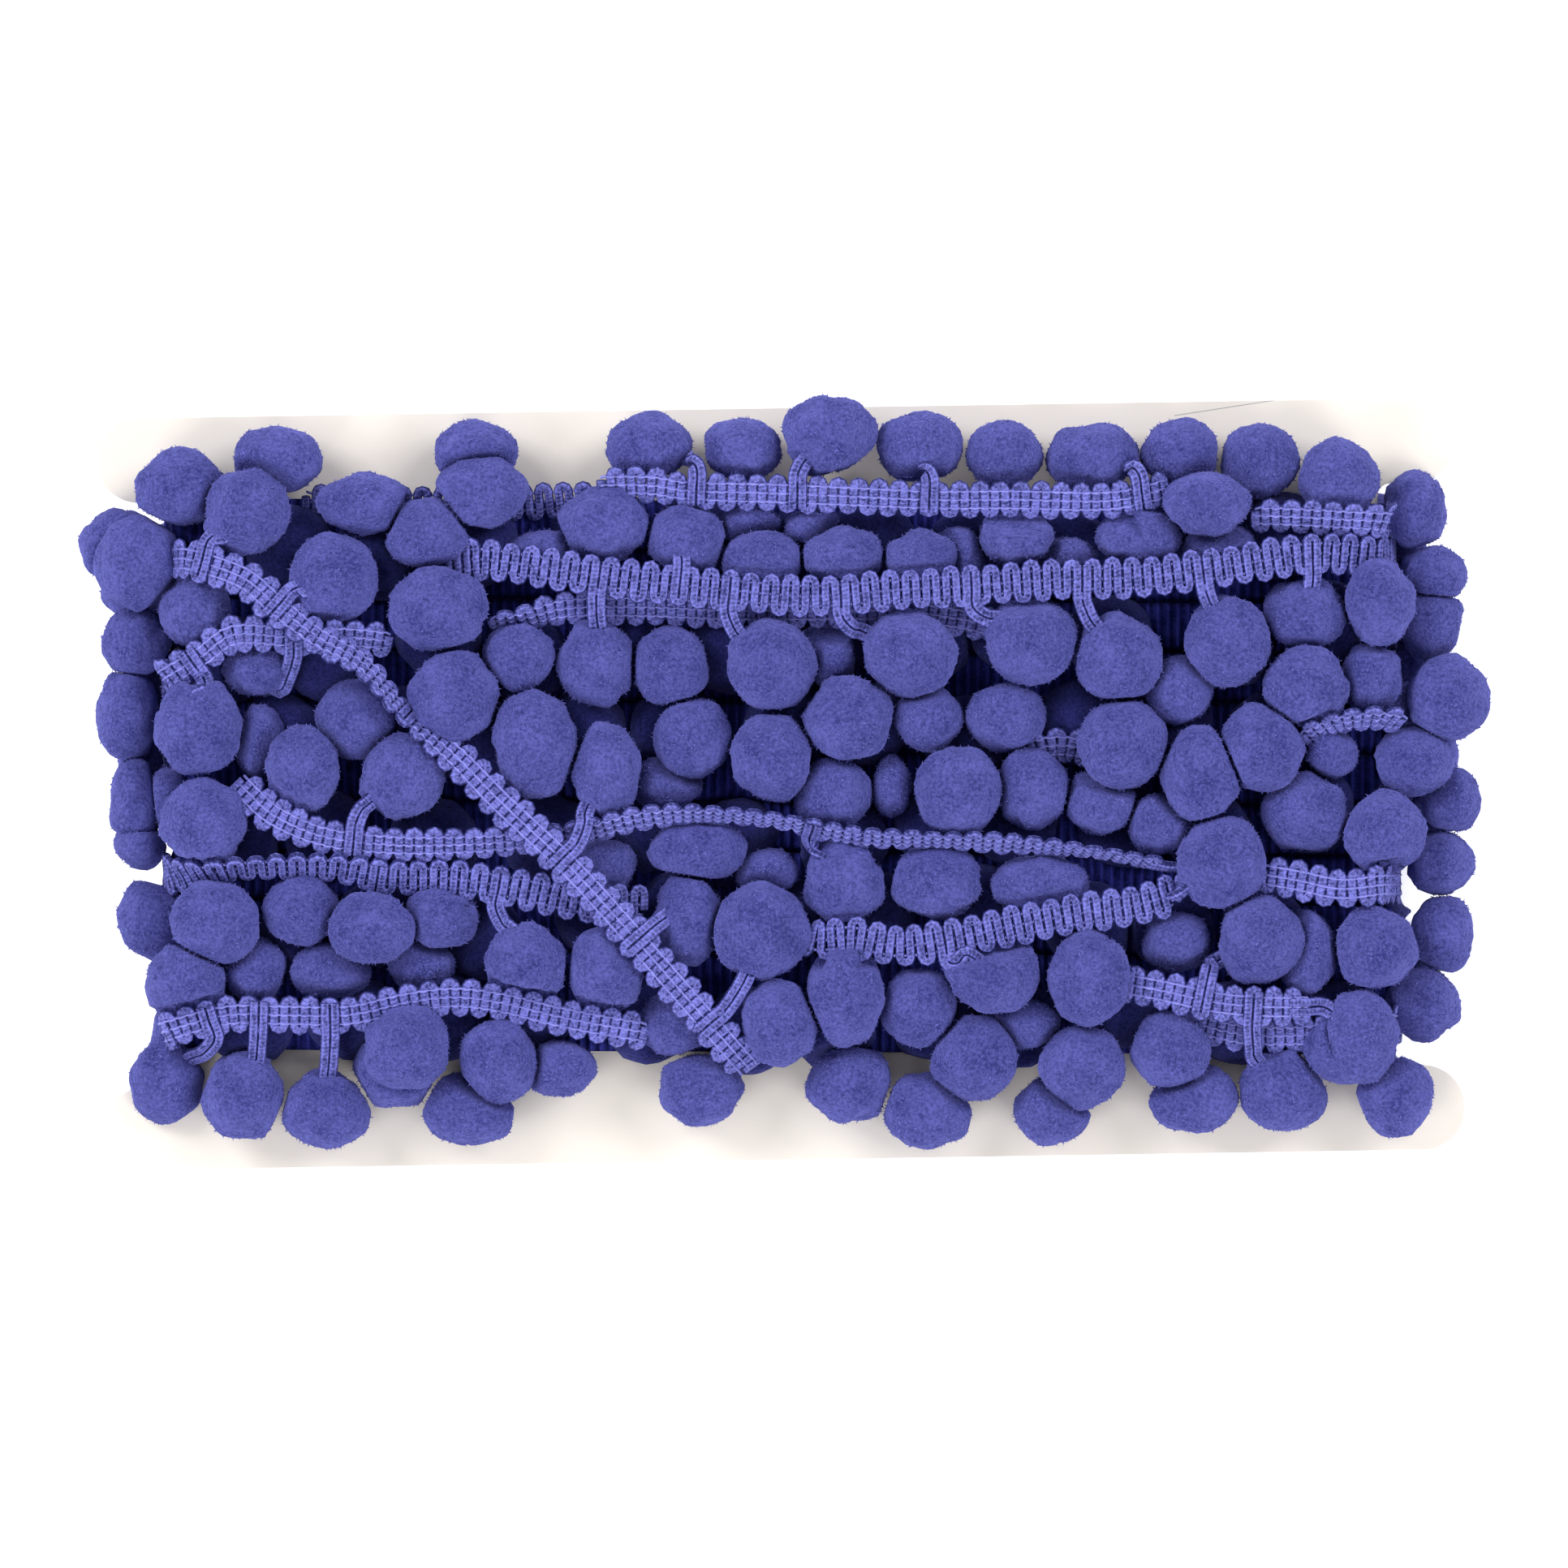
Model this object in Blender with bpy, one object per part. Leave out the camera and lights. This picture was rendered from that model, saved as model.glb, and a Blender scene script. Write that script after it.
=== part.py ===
"""Pompom fringe trim, wound on an H-shaped card that lies on its back.

The card is cut from stiff board and has a waist between two wide, round-ended tabs. The trim
is a narrow braid with a pompom on a short leg every 14 mm or so. It is wound round the waist,
and its pompoms pile up two deep over the front, the back and both sides.

Frame: +X is the card's right, +Y its top and +Z its front. The origin lies under the middle
of the part, on the surface that the part rests on.
"""

import math
import random
from collections import namedtuple

import bmesh
import bpy
from mathutils import Matrix, Vector

MM = 0.001

# The charts of the front below are in seen units, counted right and down as in a view from
# above. The view is turned a little against the card.
SEEN_UNIT = MM / 11.0
SEEN_MIDDLE_X = 962.0
SEEN_MIDDLE_Y = 966.0
SEEN_TURN = math.radians(0.9)

# Card
CARD_WIDTH = 152.4 * MM
CARD_LENGTH = 84.4 * MM
CARD_THICKNESS = 1.5 * MM
CARD_WAIST = 135.0 * MM
TAB_DEPTH = 9.5 * MM
TAB_CORNER = 4.6 * MM
NOTCH_CORNER = 1.5 * MM
CORNER_STEPS = 8
BACK_PILE = 12.5 * MM
CARD_FRONT = BACK_PILE + CARD_THICKNESS
CARD_MIDDLE = BACK_PILE + CARD_THICKNESS / 2

# Turns of braid that lie under the pompoms
CORE_WIDTH = 138.4 * MM
CORE_PILE = 4.0 * MM
CORE_LENGTH = 64.2 * MM
CORE_SIDE_STEPS = 10

# Pompoms
POMPOM_DEPTH = 5.0 * MM
POMPOM_FINENESS = 3
LEG_RADIUS = 1.1 * MM
LEG_SIDES = 6
LEG_ROOT = 1.2 * MM
LAYER_LIFT = {"low": 5.2 * MM, "middle": 7.4 * MM, "top": 9.8 * MM}
SIDE_LIFT = {"side": 1.6 * MM, "side high": 6.0 * MM}
ROUND_OFF = 2.6 * MM

# Pompoms under those of the front, which close the gaps between them
UNDER_SEED = 5
UNDER_ROWS = 6
UNDER_COLUMNS = 12
UNDER_ROW_PITCH = 10.6 * MM
UNDER_COLUMN_PITCH = 11.0 * MM
UNDER_SCATTER = 1.5 * MM
UNDER_LIFT = 3.4 * MM
UNDER_HALF = 5.0 * MM

# Pompoms of the back, which the front view doesn't show
BACK_SEED = 17
BACK_ROWS = 8
BACK_COLUMNS = 13
BACK_ROW_PITCH = 10.4 * MM
BACK_COLUMN_PITCH = 11.0 * MM
BACK_SCATTER = 1.3 * MM
BACK_SMALLEST = 4.6 * MM
BACK_LARGEST = 5.4 * MM
BACK_LAYERS = ("top", "top", "middle", "top", "low")
BACK_TOP_LIFT = 8.2 * MM
EDGE_CLEARANCE = 0.4 * MM

# Behind each side pompom sits a fellow, further in and nearer to the middle of the side
SIDE_FELLOW_DROP = 8.0 * MM
SIDE_FELLOW_INSET = {"side": 2.0 * MM, "side high": 3.4 * MM}
SIDE_FELLOW_SHIFT = 4.6 * MM

# Braid
BRAID_WIDTH = 5.2 * MM
BRAID_THICKNESS = 1.8 * MM
RUN_STEPS = 6
BACK_RUNS = 5
BACK_RUN_BENDS = 7
BACK_RUN_LIFT = 8.6 * MM
BACK_RUN_SWAY = 3.0 * MM

# Making of the one solid
GRAIN = 0.8 * MM
TRIM_TRIANGLES = 9600
CLEARANCE = 0.3 * MM
SHARP_ANGLE = math.radians(50)

# Finishes
BOARD_COLOUR = (0.86, 0.82, 0.76)
BOARD_ROUGHNESS = 0.8
PLUSH_COLOUR = (0.10, 0.10, 0.38)
PLUSH_ROUGHNESS = 0.95

Course = namedtuple("Course", "place layer pompoms")
Run = namedtuple("Run", "place lift points")

# Pompoms of the front, course by course. Each is its middle, then its half width and half
# height, all in seen units.
FRONT_COURSES = (
    Course("upper left", "low", (
        (341, 566, 57, 43), (586, 558, 52, 40), (318, 828, 42, 32), (668, 678, 40, 25),
    )),
    Course("upper left", "middle", (
        (222, 602, 57, 47), (449, 620, 57, 38), (527, 658, 55, 43), (594, 606, 56, 45),
        (240, 752, 44, 49), (638, 808, 44, 41), (438, 888, 48, 52),
    )),
    Course("upper left", "top", (
        (306, 630, 52, 52), (412, 711, 55, 56), (540, 750, 60, 53), (245, 899, 55, 57),
        (560, 858, 53, 58), (660, 917, 53, 66),
    )),
    Course("left side", "side", (
        (145, 672, 47, 46), (165, 792, 40, 45), (155, 880, 38, 58), (167, 990, 33, 60),
        (170, 1040, 30, 30), (185, 1135, 41, 50), (204, 1334, 45, 51), (206, 985, 28, 40),
    )),
    Course("left side", "side high", ((168, 692, 52, 58),)),
    Course("on the top tab", "low", (
        (798, 549, 52, 39), (915, 553, 47, 40), (1135, 550, 54, 43), (1236, 560, 47, 42),
        (1344, 563, 56, 42), (1455, 557, 48, 40), (1551, 569, 48, 46),
    )),
    Course("on the top tab", "middle", ((1022, 535, 57, 47), (1649, 589, 50, 47))),
    Course("under the top tab", "low", (
        (925, 648, 40, 25), (1000, 648, 35, 22), (1180, 685, 35, 35), (1316, 682, 34, 20),
        (1503, 670, 45, 25),
    )),
    Course("under the top tab", "middle", (
        (746, 645, 56, 45), (846, 664, 49, 42), (938, 690, 52, 35), (1038, 685, 52, 34),
        (1133, 688, 45, 34), (1252, 662, 48, 34), (1403, 662, 53, 33),
    )),
    Course("under the top tab", "top", ((1486, 620, 54, 38),)),
    Course("under the upper run", "low", ((1020, 805, 35, 40),)),
    Course("under the upper run", "middle", (
        (735, 818, 48, 53), (827, 821, 48, 49), (1454, 851, 43, 43), (1608, 757, 52, 43),
        (1690, 836, 38, 43), (853, 908, 47, 50), (1143, 884, 42, 42), (1238, 882, 50, 42),
    )),
    Course("under the upper run", "top", (
        (950, 820, 54, 57), (1122, 806, 54, 54), (1270, 791, 56, 54), (1378, 812, 53, 52),
        (1514, 791, 52, 55), (1700, 743, 40, 57), (1607, 847, 53, 52),
    )),
    Course("right side", "side", (
        (1746, 627, 38, 50), (1768, 708, 38, 38), (1763, 765, 40, 45), (1787, 985, 37, 42),
        (1778, 1063, 38, 42), (1780, 1151, 40, 48), (1755, 1236, 45, 45), (1737, 880, 32, 38),
    )),
    Course("right side", "side high", ((1784, 861, 49, 54), (1743, 938, 47, 45))),
    Course("middle", "low", (
        (820, 965, 45, 35), (1100, 968, 24, 40), (320, 915, 30, 45), (1640, 930, 33, 28),
    )),
    Course("middle", "middle", (
        (1027, 977, 48, 44), (1272, 972, 46, 50), (1357, 988, 44, 42), (1428, 1013, 40, 37),
        (1607, 1001, 55, 49),
    )),
    Course("middle", "top", (
        (253, 1014, 53, 55), (375, 948, 46, 53), (498, 956, 52, 52), (748, 948, 43, 57),
        (950, 932, 50, 55), (1045, 886, 55, 52), (1181, 975, 54, 56), (1382, 918, 55, 57),
        (1478, 954, 49, 61), (1553, 922, 52, 56), (1706, 1026, 50, 52),
    )),
    Course("lower left", "low", (
        (315, 1195, 38, 42), (408, 1197, 50, 35), (520, 1187, 42, 33), (745, 1068, 38, 34),
    )),
    Course("lower left", "middle", ((371, 1121, 46, 44), (543, 1130, 48, 38))),
    Course("lower left", "top", (
        (265, 1137, 55, 53), (230, 1213, 50, 52), (458, 1145, 54, 43), (648, 1190, 50, 52),
        (746, 1197, 46, 55),
    )),
    Course("lower middle", "low", (
        (945, 1075, 38, 30), (832, 1262, 48, 38), (1262, 1262, 45, 30), (1450, 1158, 42, 37),
    )),
    Course("lower middle", "middle", (
        (861, 1049, 60, 37), (847, 1133, 42, 58), (1040, 1089, 49, 52), (1155, 1087, 55, 46),
        (1281, 1090, 62, 36), (1132, 1243, 48, 49), (1607, 1173, 40, 52), (1650, 1292, 45, 45),
    )),
    Course("lower middle", "top", (
        (939, 1146, 59, 59), (961, 1260, 48, 53), (1041, 1226, 50, 60), (1224, 1196, 57, 52),
        (1341, 1205, 50, 60), (1506, 1061, 54, 59), (1553, 1156, 52, 54), (1694, 1167, 50, 49),
        (1677, 1277, 45, 57),
    )),
    Course("on the bottom tab", "low", (
        (299, 1350, 50, 54), (403, 1369, 53, 48), (488, 1318, 52, 48), (578, 1365, 57, 46),
        (688, 1318, 45, 34), (863, 1340, 52, 44), (1048, 1336, 54, 47), (1142, 1368, 58, 46),
        (1296, 1368, 48, 44), (1471, 1351, 55, 46), (1583, 1344, 54, 49), (1719, 1350, 46, 50),
    )),
    Course("on the bottom tab", "middle", (
        (615, 1307, 48, 50), (1200, 1304, 52, 53), (1333, 1313, 53, 52), (1443, 1292, 49, 47),
    )),
    Course("on the bottom tab", "top", ((502, 1290, 53, 54),)),
)

# Runs of braid that show on the front, as bends of their middle line in seen units
FRONT_RUNS = (
    Run("top", 10.0 * MM, ((735, 598), (850, 605), (1050, 612), (1250, 616), (1440, 600))),
    Run("top left", 5.4 * MM, ((380, 605), (560, 612), (740, 612))),
    Run("upper", 11.4 * MM, (
        (580, 690), (740, 710), (1000, 735), (1200, 722), (1400, 712), (1600, 685), (1700, 683),
    )),
    Run("under the upper", 8.6 * MM, ((610, 765), (700, 752), (1000, 762), (1240, 775))),
    Run("upper right", 9.0 * MM, ((1540, 635), (1600, 637), (1700, 642))),
    Run("left", 10.4 * MM, ((205, 835), (290, 782), (430, 785), (485, 790))),
    Run("slanting", 12.8 * MM, (
        (235, 690), (340, 745), (450, 820), (500, 880), (620, 990), (760, 1130), (920, 1305),
    )),
    Run("middle", 10.6 * MM, (
        (305, 975), (400, 1030), (560, 1040), (720, 1025), (850, 1003), (1050, 1030),
        (1250, 1040), (1430, 1065),
    )),
    Run("under the middle", 9.8 * MM, ((205, 1072), (400, 1068), (560, 1083), (800, 1115))),
    Run("lower middle", 10.8 * MM, ((1000, 1160), (1110, 1165), (1250, 1140), (1440, 1110))),
    Run("lower right", 10.8 * MM, ((1385, 1215), (1500, 1235), (1600, 1240))),
    Run("right", 10.4 * MM, ((1565, 1080), (1650, 1095), (1720, 1085))),
    Run("right upper", 10.0 * MM, ((1610, 905), (1650, 890), (1700, 885))),
    Run("lower left", 10.6 * MM, (
        (205, 1270), (280, 1250), (430, 1250), (560, 1228), (680, 1250), (780, 1270),
    )),
)


def clear_scene():
    for old in list(bpy.data.objects):
        bpy.data.objects.remove(old, do_unlink=True)


def material(name, colour, roughness):
    """A plain surface without metal."""
    made = bpy.data.materials.new(name)
    made.use_nodes = True
    shader = made.node_tree.nodes["Principled BSDF"]
    shader.inputs["Base Color"].default_value = (*colour, 1.0)
    shader.inputs["Roughness"].default_value = roughness
    shader.inputs["Metallic"].default_value = 0.0
    made.diffuse_color = (*colour, 1.0)
    return made


def new_object(name, bm):
    mesh = bpy.data.meshes.new(name)
    bm.to_mesh(mesh)
    bm.free()
    made = bpy.data.objects.new(name, mesh)
    bpy.context.scene.collection.objects.link(made)
    return made


def seen(x, y):
    """The place on the card's plane of a point of the front view."""
    right = (x - SEEN_MIDDLE_X) * SEEN_UNIT
    up = (SEEN_MIDDLE_Y - y) * SEEN_UNIT
    return (
        right * math.cos(SEEN_TURN) + up * math.sin(SEEN_TURN),
        up * math.cos(SEEN_TURN) - right * math.sin(SEEN_TURN),
    )


def corner(x, y, radius, start, sweep):
    """Points of a round corner about (x, y), from one angle on through the sweep."""
    for step in range(CORNER_STEPS + 1):
        angle = math.radians(start + sweep * step / CORNER_STEPS)
        yield (x + radius * math.cos(angle), y + radius * math.sin(angle))


def card_outline(grown):
    """The H of the card, counter-clockwise, with every edge moved out by `grown`."""
    side = CARD_WIDTH / 2 + grown
    end = CARD_LENGTH / 2 + grown
    waist = CARD_WAIST / 2 + grown
    notch = CARD_LENGTH / 2 - TAB_DEPTH - grown
    tab = TAB_CORNER + grown
    inner = NOTCH_CORNER - grown
    quarter = []
    quarter += corner(waist + inner, notch - inner, inner, 180, -90)
    quarter += corner(side - tab, notch + tab, tab, -90, 90)
    quarter += corner(side - tab, end - tab, tab, 0, 90)
    points = []
    points += quarter
    points += [(-x, y) for x, y in reversed(quarter)]
    points += [(-x, -y) for x, y in quarter]
    points += [(x, -y) for x, y in reversed(quarter)]
    return points


def prism(outline, bottom, top):
    """A closed block that stands on an outline in the XY plane."""
    bm = bmesh.new()
    base = bm.faces.new([bm.verts.new((x, y, bottom)) for x, y in outline])
    raised = bmesh.ops.extrude_face_region(bm, geom=[base])
    moved = [item for item in raised["geom"] if isinstance(item, bmesh.types.BMVert)]
    bmesh.ops.translate(bm, verts=moved, vec=(0.0, 0.0, top - bottom))
    bmesh.ops.remove_doubles(bm, verts=bm.verts[:], dist=0.001 * MM)
    bmesh.ops.recalc_face_normals(bm, faces=bm.faces[:])
    return bm


def add_core(bm):
    """The flat, round-edged sleeve of braid turns, as a block that the card's slot opens later."""
    radius = CARD_THICKNESS / 2 + CORE_PILE
    straight = CORE_WIDTH / 2 - radius
    ring = []
    for side in (1, -1):
        for step in range(CORE_SIDE_STEPS + 1):
            angle = math.pi * (step / CORE_SIDE_STEPS - 0.5)
            x = side * (straight + radius * math.cos(angle))
            z = CARD_MIDDLE + side * radius * math.sin(angle)
            ring.append(bm.verts.new((x, -CORE_LENGTH / 2, z)))
    base = bm.faces.new(ring)
    raised = bmesh.ops.extrude_face_region(bm, geom=[base])
    moved = [item for item in raised["geom"] if isinstance(item, bmesh.types.BMVert)]
    bmesh.ops.translate(bm, verts=moved, vec=(0.0, CORE_LENGTH, 0.0))


def nearest_root(place):
    """The nearest place to a pompom that lies a little way inside the core."""
    along_x = CORE_WIDTH / 2 - LEG_ROOT
    along_y = CORE_LENGTH / 2 - LEG_ROOT
    along_z = CARD_THICKNESS / 2 + CORE_PILE - LEG_ROOT
    return Vector((
        min(max(place.x, -along_x), along_x),
        min(max(place.y, -along_y), along_y),
        CARD_MIDDLE + min(max(place.z - CARD_MIDDLE, -along_z), along_z),
    ))


def add_pompom(bm, place, half_width, half_height):
    """A pompom, and the leg that roots it in the core."""
    leg = nearest_root(place) - place
    turn = leg.to_track_quat("Z", "Y").to_matrix().to_4x4()
    bmesh.ops.create_cone(
        bm, cap_ends=True, segments=LEG_SIDES, radius1=LEG_RADIUS, radius2=LEG_RADIUS,
        depth=leg.length, matrix=Matrix.Translation(place + leg / 2) @ turn,
    )
    size = Matrix.Diagonal((half_width, half_height, POMPOM_DEPTH, 1.0))
    bmesh.ops.create_icosphere(
        bm, subdivisions=POMPOM_FINENESS, radius=1.0, matrix=Matrix.Translation(place) @ size
    )


def rounded_off(x):
    """How much lower the pile is towards the card's left and right edges."""
    return ROUND_OFF * (abs(x) / (CARD_WIDTH / 2)) ** 4


def add_front_pompoms(bm):
    for course in FRONT_COURSES:
        for x_seen, y_seen, half_width, half_height in course.pompoms:
            x, y = seen(x_seen, y_seen)
            size = (half_width * SEEN_UNIT, half_height * SEEN_UNIT)
            if course.layer in SIDE_LIFT:
                z = CARD_MIDDLE + SIDE_LIFT[course.layer]
                fellow_x = x - math.copysign(SIDE_FELLOW_INSET[course.layer], x)
                fellow_y = y - math.copysign(SIDE_FELLOW_SHIFT, y)
                add_pompom(bm, Vector((fellow_x, fellow_y, z - SIDE_FELLOW_DROP)), *size)
            else:
                z = CARD_FRONT + max(LAYER_LIFT[course.layer] - rounded_off(x), LAYER_LIFT["low"])
            add_pompom(bm, Vector((x, y, z)), *size)


def add_under_pompoms(bm):
    """Staggered rows against the card, under the charted pompoms of the front."""
    rng = random.Random(UNDER_SEED)
    for row in range(UNDER_ROWS):
        y = (row - (UNDER_ROWS - 1) / 2) * UNDER_ROW_PITCH
        for column in range(UNDER_COLUMNS - row % 2):
            x = (column - (UNDER_COLUMNS - 1 - row % 2) / 2) * UNDER_COLUMN_PITCH
            place = Vector((
                x + rng.uniform(-UNDER_SCATTER, UNDER_SCATTER),
                y + rng.uniform(-UNDER_SCATTER, UNDER_SCATTER),
                CARD_FRONT + UNDER_LIFT,
            ))
            add_pompom(bm, place, UNDER_HALF, UNDER_HALF)


def add_back_pompoms(bm):
    """Staggered rows behind the card, a little uneven, as the front is."""
    rng = random.Random(BACK_SEED)
    for row in range(BACK_ROWS):
        y = (row - (BACK_ROWS - 1) / 2) * BACK_ROW_PITCH
        for column in range(BACK_COLUMNS - row % 2):
            x = (column - (BACK_COLUMNS - 1 - row % 2) / 2) * BACK_COLUMN_PITCH
            lift = min(LAYER_LIFT[rng.choice(BACK_LAYERS)], BACK_TOP_LIFT)
            x_place = x + rng.uniform(-BACK_SCATTER, BACK_SCATTER)
            y_place = y + rng.uniform(-BACK_SCATTER, BACK_SCATTER)
            half_width = rng.uniform(BACK_SMALLEST, BACK_LARGEST)
            half_height = rng.uniform(BACK_SMALLEST, BACK_LARGEST)
            y_most = CARD_LENGTH / 2 - half_height - EDGE_CLEARANCE
            place = Vector((x_place, max(min(y_place, y_most), -y_most), BACK_PILE - lift))
            add_pompom(bm, place, half_width, half_height)


def smooth_line(bends):
    """A smooth line through the bends, with even steps between each two of them."""
    bends = [Vector(bend) for bend in bends]
    ends = [2 * bends[0] - bends[1]] + bends + [2 * bends[-1] - bends[-2]]
    line = []
    for before, start, stop, after in zip(ends, ends[1:], ends[2:], ends[3:]):
        for step in range(RUN_STEPS):
            t = step / RUN_STEPS
            line.append(0.5 * (
                2 * start
                + (stop - before) * t
                + (2 * before - 5 * start + 4 * stop - after) * t ** 2
                + (3 * start - before - 3 * stop + after) * t ** 3
            ))
    line.append(bends[-1])
    return line


def add_run(bm, bends):
    """A flat band of braid along the bends."""
    line = smooth_line(bends)
    sections = []
    for index, point in enumerate(line):
        ahead = line[min(index + 1, len(line) - 1)] - line[max(index - 1, 0)]
        across = Vector((-ahead.y, ahead.x, 0.0)).normalized() * BRAID_WIDTH / 2
        up = Vector((0.0, 0.0, BRAID_THICKNESS / 2))
        corners = (point + across + up, point - across + up, point - across - up, point + across - up)
        sections.append([bm.verts.new(place) for place in corners])
    for section, following in zip(sections, sections[1:]):
        for side in range(4):
            after = (side + 1) % 4
            bm.faces.new((section[side], section[after], following[after], following[side]))
    bm.faces.new(reversed(sections[0]))
    bm.faces.new(sections[-1])


def add_front_runs(bm):
    for run in FRONT_RUNS:
        add_run(bm, [(*seen(x, y), CARD_FRONT + run.lift) for x, y in run.points])


def add_back_runs(bm):
    """Runs across the back between its rows, each with a slow sway."""
    rng = random.Random(BACK_SEED)
    for number in range(BACK_RUNS):
        y = (number - (BACK_RUNS - 1) / 2) * BACK_ROW_PITCH
        bends = []
        for bend in range(BACK_RUN_BENDS):
            x = (bend - (BACK_RUN_BENDS - 1) / 2) * CORE_WIDTH / BACK_RUN_BENDS
            sway = rng.uniform(-BACK_RUN_SWAY, BACK_RUN_SWAY)
            bends.append((x, y + sway, BACK_PILE - BACK_RUN_LIFT))
        add_run(bm, bends)


def keep_outer_body(made):
    """Drops the walls of the closed spaces between pompoms, and any crumb that a cut left."""
    bm = bmesh.new()
    bm.from_mesh(made.data)
    left = set(bm.verts)
    bodies = []
    while left:
        body = {left.pop()}
        edge_of_body = list(body)
        while edge_of_body:
            vertex = edge_of_body.pop()
            for edge in vertex.link_edges:
                other = edge.other_vert(vertex)
                if other not in body:
                    body.add(other)
                    edge_of_body.append(other)
        left -= body
        bodies.append(body)
    bodies.sort(key=len)
    for body in bodies[:-1]:
        bmesh.ops.delete(bm, geom=list(body), context="VERTS")
    bm.to_mesh(made.data)
    bm.free()


def apply_modifiers(made):
    """Makes the evaluated mesh the object's own, as one body."""
    depsgraph = bpy.context.evaluated_depsgraph_get()
    mesh = bpy.data.meshes.new_from_object(made.evaluated_get(depsgraph))
    made.modifiers.clear()
    made.data = mesh
    keep_outer_body(made)


def cut_away(made, bm, name):
    """Takes a block away from an object."""
    cutter = new_object(name, bm)
    cutter.hide_render = True
    cutter.display_type = "WIRE"
    cut = made.modifiers.new(name, "BOOLEAN")
    cut.operation = "DIFFERENCE"
    cut.solver = "EXACT"
    cut.object = cutter
    apply_modifiers(made)


def build_card():
    card = new_object("card", prism(card_outline(0.0), BACK_PILE, CARD_FRONT))
    card.data.materials.append(material("card_board", BOARD_COLOUR, BOARD_ROUGHNESS))


def build_trim():
    bm = bmesh.new()
    add_core(bm)
    add_front_pompoms(bm)
    add_under_pompoms(bm)
    add_back_pompoms(bm)
    add_front_runs(bm)
    add_back_runs(bm)
    bmesh.ops.recalc_face_normals(bm, faces=bm.faces[:])
    trim = new_object("wound_trim", bm)

    join = trim.modifiers.new("join", "REMESH")
    join.mode = "VOXEL"
    join.voxel_size = GRAIN
    apply_modifiers(trim)

    thin = trim.modifiers.new("thin", "DECIMATE")
    thin.use_collapse_triangulate = True
    thin.ratio = TRIM_TRIANGLES / (2 * len(trim.data.polygons))
    apply_modifiers(trim)

    slot = prism(card_outline(CLEARANCE), BACK_PILE - CLEARANCE, CARD_FRONT + CLEARANCE)
    cut_away(trim, slot, "card_slot")
    reach = CARD_WIDTH
    below = prism([(-reach, -reach), (reach, -reach), (reach, reach), (-reach, reach)], -reach, 0.0)
    cut_away(trim, below, "rest_level")

    trim.data.shade_smooth()
    trim.data.set_sharp_from_angle(angle=SHARP_ANGLE)
    trim.data.materials.append(material("plush", PLUSH_COLOUR, PLUSH_ROUGHNESS))


clear_scene()
build_card()
build_trim()
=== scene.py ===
# %% [markdown]
# # Pompom fringe trim, wound on a card
# This lesson dresses a plain model of a wound trim. The plain model gives the card and the
# space that the trim fills. Here the trim is made as it really is: a narrow braid of one
# cord that snakes over a few fine threads, short doubled legs, and a felted ball on each leg.

# %% Frame
import math
import random
from collections import namedtuple

import bmesh
import bpy
import numpy as np
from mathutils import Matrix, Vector


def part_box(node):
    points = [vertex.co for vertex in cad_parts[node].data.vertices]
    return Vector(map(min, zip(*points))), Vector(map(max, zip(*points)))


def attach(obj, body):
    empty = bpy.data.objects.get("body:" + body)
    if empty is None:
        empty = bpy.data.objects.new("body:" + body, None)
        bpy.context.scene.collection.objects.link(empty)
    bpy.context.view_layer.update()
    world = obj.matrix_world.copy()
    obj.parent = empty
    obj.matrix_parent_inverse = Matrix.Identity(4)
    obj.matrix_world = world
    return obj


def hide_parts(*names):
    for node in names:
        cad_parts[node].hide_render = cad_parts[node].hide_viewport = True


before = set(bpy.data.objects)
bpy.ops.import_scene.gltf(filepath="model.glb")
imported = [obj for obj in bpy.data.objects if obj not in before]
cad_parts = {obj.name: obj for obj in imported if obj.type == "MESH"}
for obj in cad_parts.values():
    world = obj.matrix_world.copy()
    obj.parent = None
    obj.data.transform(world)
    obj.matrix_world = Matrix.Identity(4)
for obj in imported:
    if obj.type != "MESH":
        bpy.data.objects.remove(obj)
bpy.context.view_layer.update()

MM = 0.001

# %% [markdown]
# ## Measures
# The front is laid out in seen units, counted right and down as in a view from above, 11 to
# the millimetre. Heights are counted from the card's faces, because everything is wound on
# them. The card's own sizes come from the plain model.

# %% Measures
SEEN_UNIT = MM / 11.0
SEEN_MIDDLE_X = 962.0
SEEN_MIDDLE_Y = 966.0
SEEN_TURN = math.radians(0.9)

card_low, card_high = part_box("card")
CARD_BACK = card_low.z
CARD_FRONT = card_high.z
CARD_MIDDLE = (card_low.z + card_high.z) / 2
CARD_WIDTH = card_high.x - card_low.x
CARD_LENGTH = card_high.y - card_low.y

# The deeper turns: how wide they are round the card's waist, and where their bend is centred
CORE_WIDTH = 138.4 * MM
CORE_PILE = 4.0 * MM
CORE_BEND = CORE_WIDTH / 2 - CORE_PILE - (CARD_FRONT - CARD_BACK) / 2


def seen(x, y):
    """The place on the card's plane of a point of the front view."""
    right = (x - SEEN_MIDDLE_X) * SEEN_UNIT
    up = (SEEN_MIDDLE_Y - y) * SEEN_UNIT
    return (
        right * math.cos(SEEN_TURN) + up * math.sin(SEEN_TURN),
        up * math.cos(SEEN_TURN) - right * math.sin(SEEN_TURN),
    )


print("card, mm:", round(CARD_WIDTH / MM, 1), "by", round(CARD_LENGTH / MM, 1))

# %% [markdown]
# ## Charts of the front
# Each pompom of the front is written down course by course, as its middle and its half width
# and half height. Each run of braid is a row too: which face it shows, how wide it is, and the
# bends of its middle line with the height over the card and the tilt of the band there.

# %% Charts of the front
Course = namedtuple("Course", "place layer pompoms")
Run = namedtuple("Run", "place face width turns_at bends")
Leg = namedtuple("Leg", "start start_lift end end_lift")

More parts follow.
